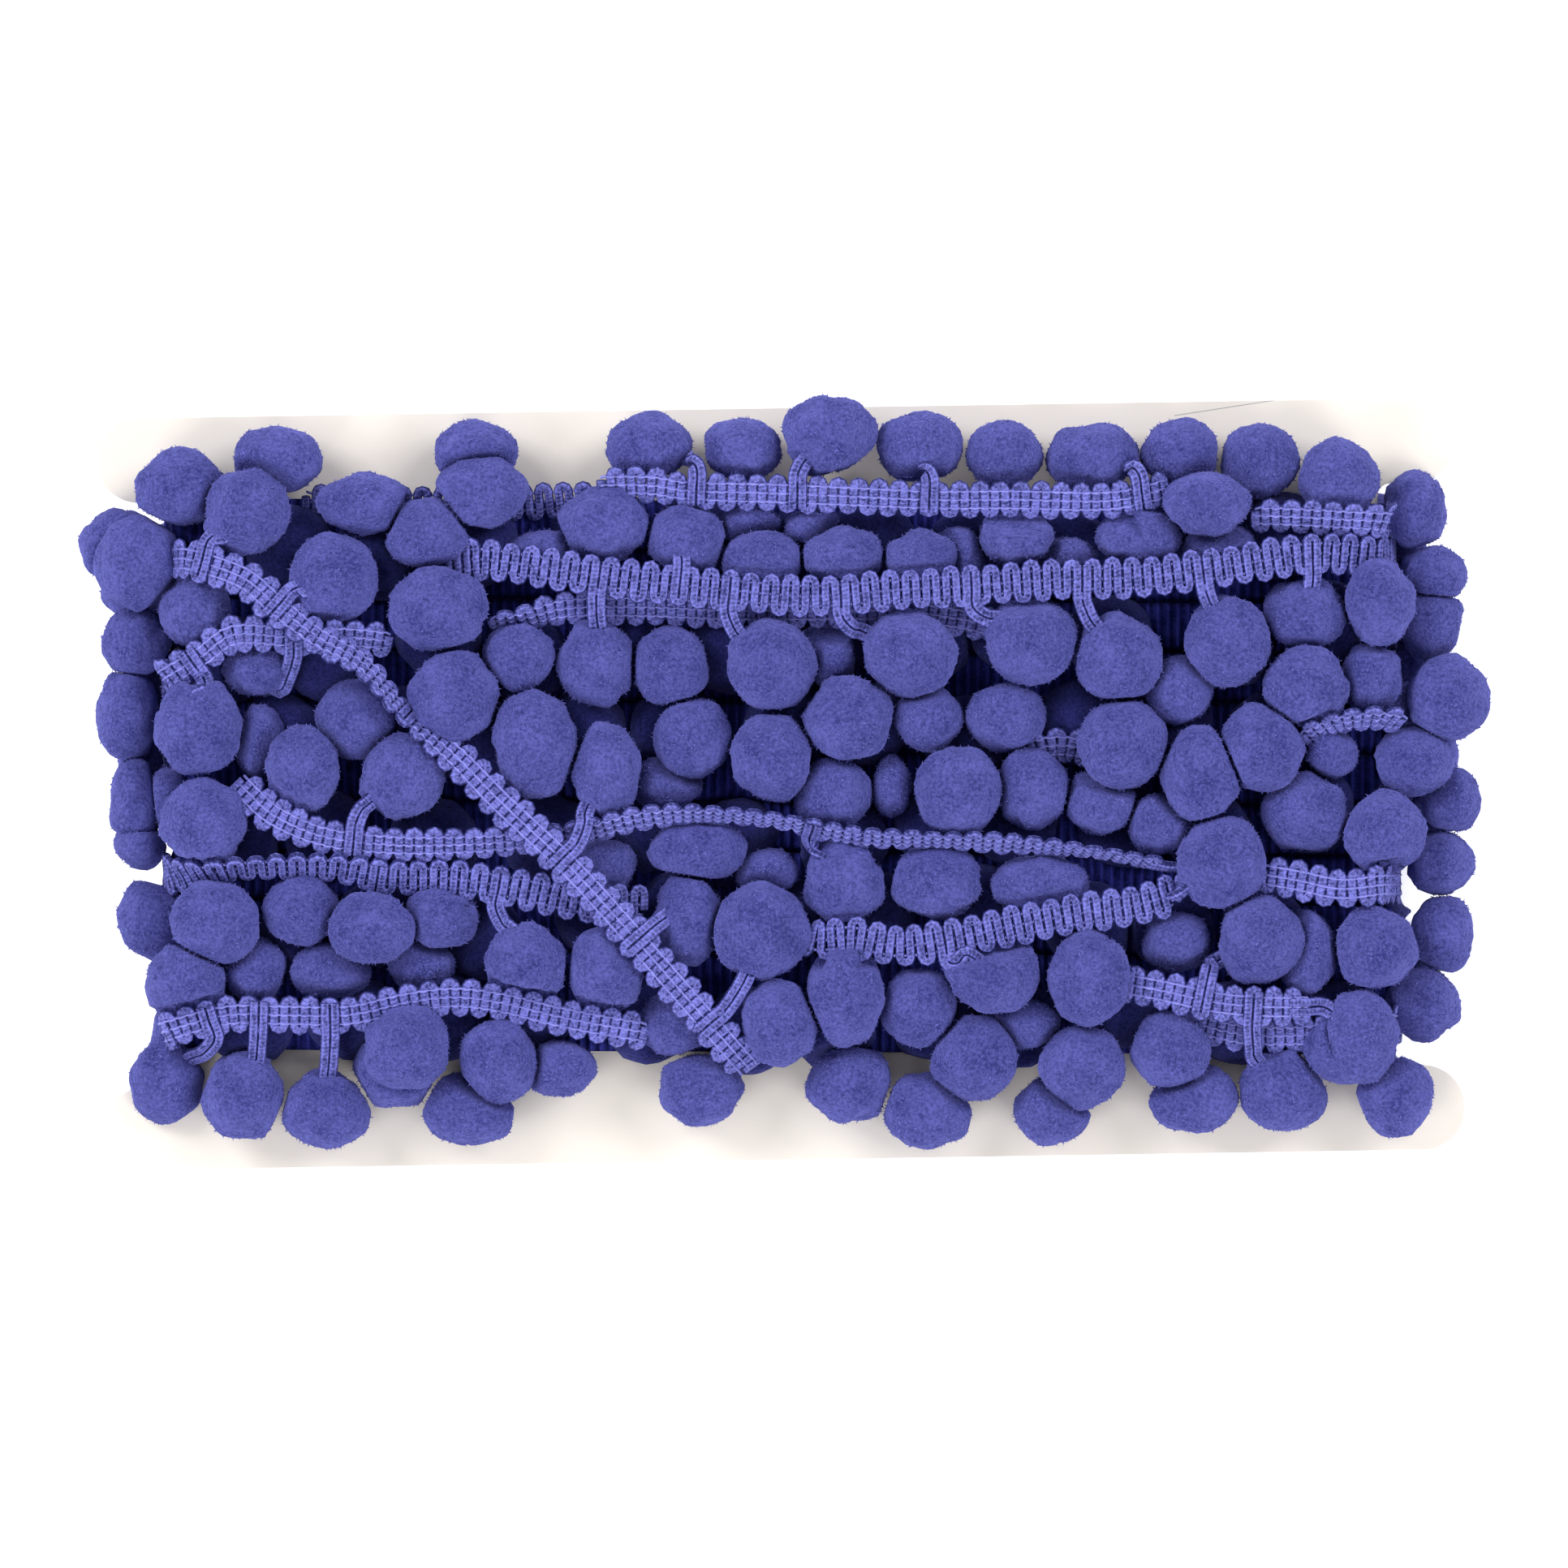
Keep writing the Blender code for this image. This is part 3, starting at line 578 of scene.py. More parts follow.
def board_finish():
    """Uncoated board: nearly plain, with a faint cloud, a fine tooth and one scored line."""
    made, tree, shader = finish("card_board", Roughness=0.75)
    place = tree.nodes.new("ShaderNodeTexCoord").outputs["Object"]
    cloud = noise(tree, place, scale=60.0, detail=4.0)
    tooth = noise(tree, place, scale=3500.0, detail=3.0)
    scored = maths(tree, "SUBTRACT", cloud, slit_mask(tree, place))
    colour = ramp(tree, scored, BOARD_SHADES, low=0.35, high=0.70)
    colour.node.color_ramp.elements.new(0.0).color = (*SLIT_GREY, 1.0)
    tree.links.new(colour, shader.inputs["Base Color"])
    bump(tree, shader, tooth, Strength=0.15, Distance=0.05 * MM)
    return made


board = board_finish()
print("finish:", board.name)

# %% [markdown]
# ## Card
# The card is die-cut from stiff board, so its edges are crisp. The plain model already has its
# outline, so it stays and gets its finish.

# %% Card
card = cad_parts["card"]
card.data.materials.clear()
card.data.materials.append(board)
print("card faces:", len(card.data.polygons))

# %% [markdown]
# ## One pompom
# A real pompom is a bundle of fibre tied in the middle and trimmed round. It could be hair, but
# at this size it reads as a felted ball. A cube that is cut finer and drawn to a sphere has even,
# square faces that bend well when it is pressed. Its top, where the leg goes in, is drawn out a
# little and the very point is pushed back in as a dimple. Those that hardly show are plainer.

# %% One pompom
FINE_CUTS = 11
PLAIN_CUTS = 5
# On a ball of radius 1: where the drawn-out shoulder and the dimple start, and how far they go
SHOULDER_FROM = 0.80
SHOULDER_DRAWN = 0.07
DIMPLE_FROM = 0.96
DIMPLE_DEPTH = 0.06
Blank = namedtuple("Blank", "points faces")


def deselect_all():
    if bpy.context.object and bpy.context.object.mode != "OBJECT":
        bpy.ops.object.mode_set(mode="OBJECT")
    bpy.ops.object.select_all(action="DESELECT")


def select_above(made, height):
    """Selects, in edit mode, the vertices above a height."""
    bm = bmesh.from_edit_mesh(made.data)
    for vertex in bm.verts:
        vertex.select = vertex.co.z > height
    bm.select_flush_mode()
    bmesh.update_edit_mesh(made.data)


def model_blank(cuts):
    """A ball of radius 1 with its leg point on top, from a cube drawn to a sphere."""
    deselect_all()
    bpy.ops.mesh.primitive_cube_add(size=2.0)
    made = bpy.context.object
    bpy.ops.object.mode_set(mode="EDIT")
    bpy.ops.mesh.select_mode(type="VERT")
    bpy.ops.mesh.select_all(action="SELECT")
    bpy.ops.mesh.subdivide(number_cuts=cuts)
    bpy.ops.transform.tosphere(value=1.0)
    bpy.ops.object.mode_set(mode="OBJECT")
    made.scale = [1.0 / made.data.vertices[0].co.length] * 3
    bpy.ops.object.transform_apply(location=False, rotation=False, scale=True)
    bpy.ops.object.mode_set(mode="EDIT")
    select_above(made, SHOULDER_FROM)
    bpy.ops.transform.translate(value=(0.0, 0.0, SHOULDER_DRAWN))
    select_above(made, DIMPLE_FROM + SHOULDER_DRAWN)
    bpy.ops.transform.translate(value=(0.0, 0.0, -DIMPLE_DEPTH))
    bpy.ops.object.mode_set(mode="OBJECT")
    points = np.array([vertex.co for vertex in made.data.vertices])
    faces = np.array([face.vertices[:] for face in made.data.polygons])
    bpy.data.objects.remove(made, do_unlink=True)
    print("a ball of", len(faces), "faces", points.min(0).round(2), points.max(0).round(2))
    return Blank(points, faces)


fine_blank = model_blank(FINE_CUTS)
plain_blank = model_blank(PLAIN_CUTS)

# %% [markdown]
# ## Places of all the pompoms
# The front comes from the chart, and its layers only add the height. Behind most side pompoms
# sits a fellow, further in and nearer to the middle of the side. Two stand alone, where the
# photo shows light beside them.

# %% Charted places
Pompom = namedtuple("Pompom", "place half side layer")
POMPOM_DEPTH = 5.0 * MM
# How high the middle of a pompom lies over the card's face, or over its middle at the sides
LAYER_LIFT = {"low": 5.2 * MM, "middle": 7.4 * MM, "top": 9.8 * MM}
SIDE_LIFT = {"side": 1.6 * MM, "side alone": 1.6 * MM, "side high": 6.0 * MM}
ROUND_OFF = 2.6 * MM
SIDE_FELLOW_DROP = 8.0 * MM
SIDE_FELLOW_INSET = {"side": 2.0 * MM, "side high": 3.4 * MM}
SIDE_FELLOW_SHIFT = 4.6 * MM


def rounded_off(x):
    """How much lower the pile is towards the card's left and right edges."""
    return ROUND_OFF * (abs(x) / (CARD_WIDTH / 2)) ** 4


def charted_pompoms():
    for course in FRONT_COURSES:
        for x_seen, y_seen, half_width, half_height in course.pompoms:
            x, y = seen(x_seen, y_seen)
            half = (half_width * SEEN_UNIT, half_height * SEEN_UNIT, POMPOM_DEPTH)
            if course.layer in SIDE_LIFT:
                z = CARD_MIDDLE + SIDE_LIFT[course.layer]
                yield Pompom((x, y, z), half, "side", "top")
                if course.layer in SIDE_FELLOW_INSET:
                    fellow_x = x - math.copysign(SIDE_FELLOW_INSET[course.layer], x)
                    fellow_y = y - math.copysign(SIDE_FELLOW_SHIFT, y)
                    yield Pompom((fellow_x, fellow_y, z - SIDE_FELLOW_DROP), half, "side", "low")
            else:
                z = CARD_FRONT + max(LAYER_LIFT[course.layer] - rounded_off(x), LAYER_LIFT["low"])
                yield Pompom((x, y, z), half, "front", course.layer)


pompoms = list(charted_pompoms())
print(len(pompoms), "pompoms come from the chart")

# %% [markdown]
# The back and the layers against the card are some 240 places that nobody sees one by one.
# They could be charted too, but seeded rules of staggered rows are shorter and look as real.

# %% Places by rule
BACK_SEED = 17
BACK_ROWS = 8
BACK_COLUMNS = 13
BACK_ROW_PITCH = 10.4 * MM
BACK_COLUMN_PITCH = 11.0 * MM
BACK_SCATTER = 1.3 * MM
BACK_SMALLEST = 4.6 * MM
BACK_LARGEST = 5.4 * MM
BACK_LAYERS = ("top", "top", "middle", "top", "low")
BACK_TOP_LIFT = 8.2 * MM
EDGE_CLEARANCE = 0.4 * MM

UNDER_SEED = 5
UNDER_ROWS = 6
UNDER_COLUMNS = 12
UNDER_ROW_PITCH = 10.6 * MM
UNDER_COLUMN_PITCH = 11.0 * MM
UNDER_SCATTER = 1.5 * MM
UNDER_LIFT = 2.0 * MM
UNDER_HALF = (5.0 * MM, 5.0 * MM, POMPOM_DEPTH)


def staggered(rows, columns, row_pitch, column_pitch):
    """Places in rows about the middle, of which every second one is a place shorter."""
    for row in range(rows):
        y = (row - (rows - 1) / 2) * row_pitch
        for column in range(columns - row % 2):
            yield (column - (columns - 1 - row % 2) / 2) * column_pitch, y


def back_pompoms():
    rng = random.Random(BACK_SEED)
    for x, y in staggered(BACK_ROWS, BACK_COLUMNS, BACK_ROW_PITCH, BACK_COLUMN_PITCH):
        layer = rng.choice(BACK_LAYERS)
        lift = min(LAYER_LIFT[layer], BACK_TOP_LIFT)
        x += rng.uniform(-BACK_SCATTER, BACK_SCATTER)
        y += rng.uniform(-BACK_SCATTER, BACK_SCATTER)
        half_width = rng.uniform(BACK_SMALLEST, BACK_LARGEST)
        half_height = rng.uniform(BACK_SMALLEST, BACK_LARGEST)
        y_most = CARD_LENGTH / 2 - half_height - EDGE_CLEARANCE
        place = (x, max(min(y, y_most), -y_most), CARD_BACK - lift)
        yield Pompom(place, (half_width, half_height, POMPOM_DEPTH), "back", layer)


def under_pompoms(z, rng):
    """Pompoms against one face of the card, under the others."""
    for x, y in staggered(UNDER_ROWS, UNDER_COLUMNS, UNDER_ROW_PITCH, UNDER_COLUMN_PITCH):
        x += rng.uniform(-UNDER_SCATTER, UNDER_SCATTER)
        y += rng.uniform(-UNDER_SCATTER, UNDER_SCATTER)
        yield Pompom((x, y, z), UNDER_HALF, "under", "low")


under_rng = random.Random(UNDER_SEED)
pompoms += back_pompoms()
pompoms += under_pompoms(CARD_FRONT + UNDER_LIFT, under_rng)
pompoms += under_pompoms(CARD_BACK - UNDER_LIFT, under_rng)
centres = np.array([pompom.place for pompom in pompoms])
halves = np.array([pompom.half for pompom in pompoms])
print(len(pompoms), "pompoms in all")

# %% [markdown]
# ## Lines and bands
# A run of braid is laid out along a smooth line. At each point it needs three directions: along
# the line, across the band, and out of the wound form. On the faces, out is plain up or down, and
# round the card's edges it fans out, so one rule serves the whole turn.

# %% Lines
BLEND_STEPS = 24


def smooth_line(bends, spacing):
    """Points at even spacing on a smooth curve through the bends. All columns are blended."""
    bends = np.array(bends, float)
    ends = np.vstack([2 * bends[0] - bends[1], bends, 2 * bends[-1] - bends[-2]])
    fine = np.linspace(0.0, 1.0, BLEND_STEPS, endpoint=False)[:, None]
    line = []
    for before, start, stop, after in zip(ends, ends[1:], ends[2:], ends[3:]):
        line.append(0.5 * (
            2 * start
            + (stop - before) * fine
            + (2 * before - 5 * start + 4 * stop - after) * fine ** 2
            + (3 * start - before - 3 * stop + after) * fine ** 3
        ))
    return even_steps(np.vstack([*line, bends[-1:]]), spacing)


def lengths_along(points):
    """How far along its line each point lies."""
    steps = np.linalg.norm(np.diff(points, axis=0), axis=1)
    return np.concatenate([[0.0], np.cumsum(steps)])


def even_steps(line, spacing):
    """The same line with its points at even spacing."""
    reached = lengths_along(line[:, :3])
    count = max(int(round(reached[-1] / spacing)), 2)
    wanted = np.linspace(0.0, reached[-1], count + 1)
    return np.stack([np.interp(wanted, reached, column) for column in line.T], axis=1)


def normalised(vectors):
    return vectors / np.maximum(np.linalg.norm(vectors, axis=-1, keepdims=True), 1e-12)


def outward(points):
    """Which way is out of the wound form at each point."""
    held = points.copy()
    held[:, 0] = np.clip(points[:, 0], -CORE_BEND, CORE_BEND)
    held[:, 2] = CARD_MIDDLE
    return normalised(points - held)


def band_frames(line):
    """Along, across and out at each point of a line whose fourth column is the tilt."""
    points = line[:, :3]
    along = normalised(np.gradient(points, axis=0))
    across = normalised(np.cross(outward(points), along))
    out = np.cross(along, across)
    tilt = np.radians(line[:, 3])[:, None]
    across_tilted = across * np.cos(tilt) + out * np.sin(tilt)
    out_tilted = out * np.cos(tilt) - across * np.sin(tilt)
    return points, along, across_tilted, out_tilted


# %% [markdown]
# Some runs of the front turn round the card's edge in full view. Such a run gets a few more
# bends: they come in a little at the shoulder, then go straight down past the card's edge.

# %% Turns round the edge
AROUND_REACH = CORE_WIDTH / 2 - 0.2 * MM
SHOULDER_INSET = 0.9 * MM
# Each bend's distance in from the reach, and the shares of the run's height and tilt it keeps
EDGE_BENDS = ((SHOULDER_INSET, 0.62, 0.5), (0.0, 0.25, 0.0), (0.0, -0.15, 0.0))


def edge_turn(last):
    """Bends that lead from a run's end over the card's edge to the middle of its thickness."""
    x, y, z, tilt = last
    side = math.copysign(1.0, x)
    over = z - CARD_MIDDLE
    return [
        (side * (AROUND_REACH - inset), y, CARD_MIDDLE + share * over, tilt_left * tilt)
        for inset, share, tilt_left in EDGE_BENDS
    ]


def front_bends(run):
    """A charted run's bends in the part's own frame, with its turn round the edge added."""
    bends = []
    for x_seen, y_seen, lift, tilt in run.bends:
        x, y = seen(x_seen, y_seen)
        bends.append((x, y, CARD_FRONT + lift * MM, tilt))
    if run.turns_at == "right":
        bends += edge_turn(bends[-1])
    if run.turns_at == "left":
        bends = edge_turn(bends[0])[::-1] + bends
    return bends


print("the turns reach", round(AROUND_REACH / MM, 1), "mm from the middle")

# %% [markdown]
# ## Pieces from many shells
# The trim is thousands of small closed shells: cords, balls and fibre ends. As objects of their
# own they would slow everything down, so each shell is an array of points and faces, and a
# piece joins its shells into one mesh. Its UV map, named `along`, lets a finish follow a cord.

# %% Shells
class Shells:
    """Points, faces and corner UVs of many closed shells, gathered for one piece."""

    def __init__(self):
        self.points, self.faces, self.uvs, self.count = [], [], [], 0

    def add(self, points, faces, uvs=None):
        self.points.append(points)
        self.faces.append(faces + self.count)
        self.uvs.append(np.zeros((*faces.shape, 2)) if uvs is None else uvs)
        self.count += len(points)

    def triangles(self):
        return sum(len(faces) * (faces.shape[1] - 2) for faces in self.faces)

    def make(self, name, material):
        """One mesh object at the origin from all the shells."""
        mesh = bpy.data.meshes.new(name)
        points = np.vstack(self.points)
        corners = np.concatenate([faces.ravel() for faces in self.faces])
        sizes = np.concatenate([np.full(len(faces), faces.shape[1]) for faces in self.faces])
        mesh.vertices.add(len(points))
        mesh.vertices.foreach_set("co", points.astype(np.float32).ravel())
        mesh.loops.add(len(corners))
        mesh.loops.foreach_set("vertex_index", corners.astype(np.int32))
        mesh.polygons.add(len(sizes))
        starts = np.concatenate([[0], np.cumsum(sizes)[:-1]])
        mesh.polygons.foreach_set("loop_start", starts.astype(np.int32))
        mesh.update(calc_edges=True)
        layer = mesh.uv_layers.new(name="along")
        uvs = np.concatenate([uvs.reshape(-1, 2) for uvs in self.uvs])
        layer.data.foreach_set("uv", uvs.astype(np.float32).ravel())
        mesh.shade_smooth()
        mesh.materials.append(material)
        made = bpy.data.objects.new(name, mesh)
        bpy.context.scene.collection.objects.link(made)
        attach(made, "root")
        print(name, self.triangles(), "triangles")
        return made


def tube(shells, points, side, up, radius, sides, flatness=1.0):
    """A closed cord along the points, with the directions of its section given at each."""
    angles = 2 * np.pi * np.arange(sides) / sides
    ring = np.cos(angles)[None, :, None] * side[:, None, :]
    ring = ring + flatness * np.sin(angles)[None, :, None] * up[:, None, :]
    body = points[:, None, :] + radius * ring
    count = len(points)
    around = np.arange(sides)
    after = (around + 1) % sides
    row = np.arange(count - 1)[:, None] * sides
    quads = np.stack(
        [row + around, row + after, row + sides + after, row + sides + around], axis=-1,
    )
    reached = lengths_along(points) / MM
    u = np.stack([around, around + 1, around + 1, around], axis=-1) / sides
    v = np.stack([reached[:-1], reached[:-1], reached[1:], reached[1:]], axis=-1)
    uvs = np.stack(np.broadcast_arrays(u, v[:, None, :]), axis=-1).reshape(-1, 4, 2)
    shells.add(body.reshape(-1, 3), quads.reshape(-1, 4), uvs)
    first_ring = shells.count - count * sides
    last_ring = shells.count - sides
    for cap in (first_ring + around[::-1], last_ring + around):
        shells.faces.append(cap[None, :])
        shells.uvs.append(np.zeros((1, sides, 2)))


# %% [markdown]
# ## Braid
# The heading is a gimp braid. One covered cord snakes from edge to edge over a few fine threads
# that run lengthwise and hold it. Seen from its good face the cord's loops show, and from the
# other the threads cross it as a grid. So the cord is laid as a true snake, with half-round turns
# at both edges, and each thread lies over the passes and dips a little between them.

# %% Braid
PASS_PITCH = DEEP_PASS * MM
CORD_RADIUS = {"grid": 0.56 * MM, "loops": 0.51 * MM}
CORD_FLATNESS = {"grid": 0.55, "loops": 0.95}
FRONT_SIDES = 8
BACK_SIDES = 6
TURN_STEPS = 5
CROSS_STEPS = 3
# Places are read up to just short of a line's last point
SHORT_OF_END = 1.001


def carried(frames, along, across, out):
    """Points given by how far along, across and out they are, on a band's frames."""
    points, _, across_axis, out_axis = frames
    index = np.clip(along / PASS_PITCH, 0, len(points) - SHORT_OF_END)
    low = index.astype(int)
    share = (index - low)[:, None]

    def blended(values):
        return values[low] * (1 - share) + values[low + 1] * share

    sideways = across[:, None] * normalised(blended(across_axis))
    return blended(points) + sideways + out[:, None] * normalised(blended(out_axis))


def snake(passes, reach):
    """The cord's path from edge to edge: how far along and across, pass by pass."""
    along, across = [], []
    radius = PASS_PITCH / 2
    turn = np.linspace(-np.pi / 2, np.pi / 2, TURN_STEPS)
    for number in range(passes):
        side = 1.0 if number % 2 else -1.0
        middle = (number + 0.5) * PASS_PITCH
        turns_at = side * (reach - radius)
        along.append(np.full(CROSS_STEPS, middle))
        across.append(np.linspace(-turns_at, turns_at, CROSS_STEPS + 2)[1:-1])
        if number < passes - 1:
            along.append(middle + radius + radius * np.sin(turn))
            across.append(side * (reach - radius + radius * np.cos(turn)))
    return np.concatenate(along), np.concatenate(across)


print("four passes of the snake take", len(snake(4, 2 * MM)[0]), "points")

# %% [markdown]
# A run is one such snake with its threads, laid on the band's own directions. Hand-made braid
# is never even, so its width swells a little and each point strays by a few hundredths of a mm.

# %% Runs of the front
# A slow swell of the width, and the share and height by which each point strays
SWELL = 0.05
SWELL_WAVE = 0.7
SWELL_SHIFT = 6.0
STRAY_ACROSS = 0.012
STRAY_OUT = 0.03 * MM

THREADS = 3
THREAD_RADIUS = 0.17 * MM
THREAD_SIDES = 4
# Threads as shares of the braid's reach, their height over the cord, and how far they dip
THREAD_PLACES = np.linspace(-0.58, 0.58, THREADS)
THREAD_OVER = 0.07 * MM
THREAD_DIP = {"grid": 1.05, "loops": 0.95}


def lay_on_band(shells, frames, along, across, out, above, *section):
    """A cord on a band's frames, whose section is turned towards places above its own."""
    path = carried(frames, along, across, out)
    up = normalised(carried(frames, along, across, above) - path)
    side = normalised(np.cross(normalised(np.gradient(path, axis=0)), up))
    tube(shells, path, side, up, *section)


def lay_braid(cords, threads, bends, width, face, sides):
    """One run of braid: the snaking cord, and the threads that run through it."""
    line = smooth_line(bends, PASS_PITCH)
    frames = band_frames(line)
    passes = len(line) - 1
    radius, flatness = CORD_RADIUS[face], CORD_FLATNESS[face]
    reach = width / 2 - radius
    along, across = snake(passes, reach)
    count = len(along)
    rng = np.random.default_rng(passes)
    across *= (
        1.0 + SWELL * np.sin(along / MM * SWELL_WAVE + rng.uniform(0, SWELL_SHIFT))
        + rng.normal(0, STRAY_ACROSS, count)
    )
    out = rng.normal(0, STRAY_OUT, count)
    lay_on_band(cords, frames, along, across, out, np.full(count, MM), radius, sides, flatness)
    over = radius * flatness + THREAD_OVER
    over = over if face == "grid" else -over
    steps = np.arange(2 * passes - 1)
    along = (steps / 2 + 0.5) * PASS_PITCH
    level = np.where(steps % 2, over * (1.0 - THREAD_DIP[face]), over)
    for place in THREAD_PLACES:
        across = np.full(len(steps), place * reach)
        lay_on_band(threads, frames, along, across, level, level + MM, THREAD_RADIUS, THREAD_SIDES)
    return frames


front_cords = {"grid": Shells(), "loops": Shells()}
front_threads = Shells()
front_frames = []
for run in FRONT_RUNS:
    cords, bends = front_cords[run.face], front_bends(run)
    front_frames.append(
        lay_braid(cords, front_threads, bends, run.width, run.face, FRONT_SIDES)
    )
grid_front = front_cords["grid"].make("braid_front_grid_cord", grid_cord)
loops_front = front_cords["loops"].make("braid_front_loop_cord", cord)
threads_front = front_threads.make("braid_front_threads", thread)

# %% [markdown]
# ## Back runs and edge turns
# The back isn't in view, so its runs follow a rule: across between the rows of pompoms, each
# with a slow sway, and round both edges of the card to meet the turns of the front. Its cords
# have fewer sides, because nobody looks at them as closely.

# %% Back runs
BACK_RUNS = 5
BACK_RUN_LIFT = 8.6 * MM
BACK_RUN_SWAY = 3.0 * MM
BACK_RUN_WIDTH = 4.8 * MM
BACK_BENDS = 7
# Degrees of tilt that each bend adds, away from the middle
BACK_TILT = 8.0
# Each bend of a turn, as its distance in from the reach and its height over the card's middle
BACK_TURN = (
    (2.0 * MM, -0.85 * BACK_RUN_LIFT), (0.0, -0.4 * BACK_RUN_LIFT), (0.0, 0.2 * MM),
)


def back_turn(side, y):
    """Bends that lead a back run round one edge of the card."""
    return [
        (side * (AROUND_REACH - inset), y, CARD_MIDDLE + height, 0.0)
        for inset, height in BACK_TURN
    ]


def back_run_bends():
    rng = random.Random(BACK_SEED)
    for number in range(BACK_RUNS):
        y = (number - (BACK_RUNS - 1) / 2) * BACK_ROW_PITCH
        bends = []
        for bend in range(BACK_BENDS):
            step = bend - BACK_BENDS // 2
            y_bend = y + rng.uniform(-BACK_RUN_SWAY, BACK_RUN_SWAY)
            x_bend = step * CORE_WIDTH / BACK_BENDS
            bends.append((x_bend, y_bend, CARD_BACK - BACK_RUN_LIFT, BACK_TILT * step))
        left = back_turn(-1.0, bends[0][1])
        right = back_turn(1.0, bends[-1][1])
        yield left[::-1] + bends + right


back_cords, back_threads, back_frames = Shells(), Shells(), []
for number, bends in enumerate(back_run_bends()):
    face = ("grid", "loops")[number % 2]
    back_frames.append(
        lay_braid(back_cords, back_threads, bends, BACK_RUN_WIDTH, face, BACK_SIDES)
    )
braid_back = back_cords.make("braid_back_cord", cord)
threads_back = back_threads.make("braid_back_threads", thread)

# %% [markdown]
# ## Deeper turns
# Between the pompoms the eye meets the turns underneath. They are seen nearly dark, and their
# finish is painted dark as painted shade, so each is a flat band round the card, whose passes
# are stripes in its finish, over a plain sleeve of cloth in the plush painted dark as shade.

# %% Deeper turns
DEEP_ROWS = 11
DEEP_LOW_END = -30.2 * MM
DEEP_HIGH_END = 31.9 * MM
DEEP_SLOPE = -0.02
DEEP_LIFT = 1.8 * MM
DEEP_STEP = 2.0 * MM
DEEP_SIDES = 8
DEEP_BAND = 5.4 * MM
DEEP_THICKNESS = 0.9 * MM
DEEP_REACH = CORE_WIDTH / 2 - 0.8 * MM
SLEEVE_STEPS = 12
SLEEVE_INSET = 0.7 * MM
SLEEVE_END_INSET = 0.4 * MM
SLEEVE_BEND = 4.0 * MM
SLEEVE_CLEARANCE = 0.15 * MM


def sleeve_ring(inset, steps):
    """Points in XZ round the card's two edges, counter-clockwise from its lower right."""
    ring = []
    height = DEEP_LIFT + (CARD_FRONT - CARD_BACK) / 2 - inset
    for side in (1, -1):
        for angle in np.linspace(-np.pi / 2, np.pi / 2, steps):
            x = side * (DEEP_REACH - inset - SLEEVE_BEND * (1 - np.cos(angle)))
            ring.append((x, CARD_MIDDLE + side * height * np.sin(angle)))
    return np.array(ring)


def lay_sleeve():
    """A closed tube of cloth round the card, with an inner and an outer wall."""
    shells = Shells()
    outer = sleeve_ring(SLEEVE_INSET, SLEEVE_STEPS)
    inner = outer * 0.0
    inner[:, 0] = np.clip(outer[:, 0], SLEEVE_BEND - DEEP_REACH, DEEP_REACH - SLEEVE_BEND)
    half_slot = (CARD_FRONT - CARD_BACK) / 2 + SLEEVE_CLEARANCE
    inner[:, 1] = CARD_MIDDLE + np.sign(outer[:, 1] - CARD_MIDDLE) * half_slot
    count = len(outer)
    points = []
    low_end, high_end = DEEP_LOW_END + SLEEVE_END_INSET, DEEP_HIGH_END - SLEEVE_END_INSET
    for ring, y in ((outer, low_end), (outer, high_end), (inner, high_end), (inner, low_end)):
        points.append(np.stack([ring[:, 0], y + DEEP_SLOPE * ring[:, 0], ring[:, 1]], axis=1))
    index = np.arange(count)
    after = (index + 1) % count
    quads = []
    for wall in range(4):
        here, following = wall * count, (wall + 1) % 4 * count
        quads.append(np.stack(
            [here + index, following + index, following + after, here + after], axis=-1,
        ))
    shells.add(np.vstack(points), np.vstack(quads))
    # The sleeve takes the plush painted darker as painted shade
    return shells.make("inner_sleeve", plush_painted_shade)


def lay_deep_turns():
    """Flat bands side by side round the sleeve."""
    shells = Shells()
    ring = sleeve_ring(0.0, SLEEVE_STEPS)
    for row in range(DEEP_ROWS):
        y = DEEP_LOW_END + (row + 0.5) * (DEEP_HIGH_END - DEEP_LOW_END) / DEEP_ROWS
        closed = np.vstack([ring, ring[:1]])
        bends = np.array([(x, y + DEEP_SLOPE * x, z, 0.0) for x, z in closed])
        line, _, across, out = band_frames(even_steps(bends, DEEP_STEP))
        flatness = DEEP_THICKNESS / DEEP_BAND
        tube(shells, line, across, out, DEEP_BAND / 2, DEEP_SIDES, flatness)
    return shells.make("inner_turns", woven_painted_shade)


sleeve = lay_sleeve()
deep_turns = lay_deep_turns()

# %% [markdown]
# ## Shaping each pompom
# Every pompom is a copy of the one above, turned so that its dimple meets its leg and sized from
# the chart. Trimmed felt isn't a true ball, so it gets a few low waves, and grain at each point.

# %% Turning and lumps
LUMPS = 7
LUMP_HEIGHT = 0.09 * MM
LUMP_WAVES = (0.5, 2.2)
FELT_ROUGH = 0.055 * MM
LEG_SLANT = 0.5


def turned_blank(blank, towards):
    """A blank's points, turned so that its leg point faces a direction."""
    turn = Vector((0.0, 0.0, 1.0)).rotation_difference(Vector(towards)).to_matrix()
    return blank.points @ np.array(turn).T


def lumps(points, rng):
    """A low, uneven swell over the ball."""
    swell = np.zeros(len(points))
    for _ in range(LUMPS):
        way = normalised(rng.normal(size=3))
        swell += np.sin(points @ way / MM * rng.uniform(*LUMP_WAVES) + rng.uniform(0, 2 * math.pi))
    return swell * LUMP_HEIGHT


def leg_direction(number):
    """Where the leg leaves the ball: towards the nearest charted leg, or into the pile."""
    if number in leg_of:
        return normalised(leg_of[number] - centres[number])
    inwards = -outward(centres[number:number + 1])[0]
    slant = np.random.default_rng(number).normal(0, LEG_SLANT, 3)
    return normalised(inwards + slant)


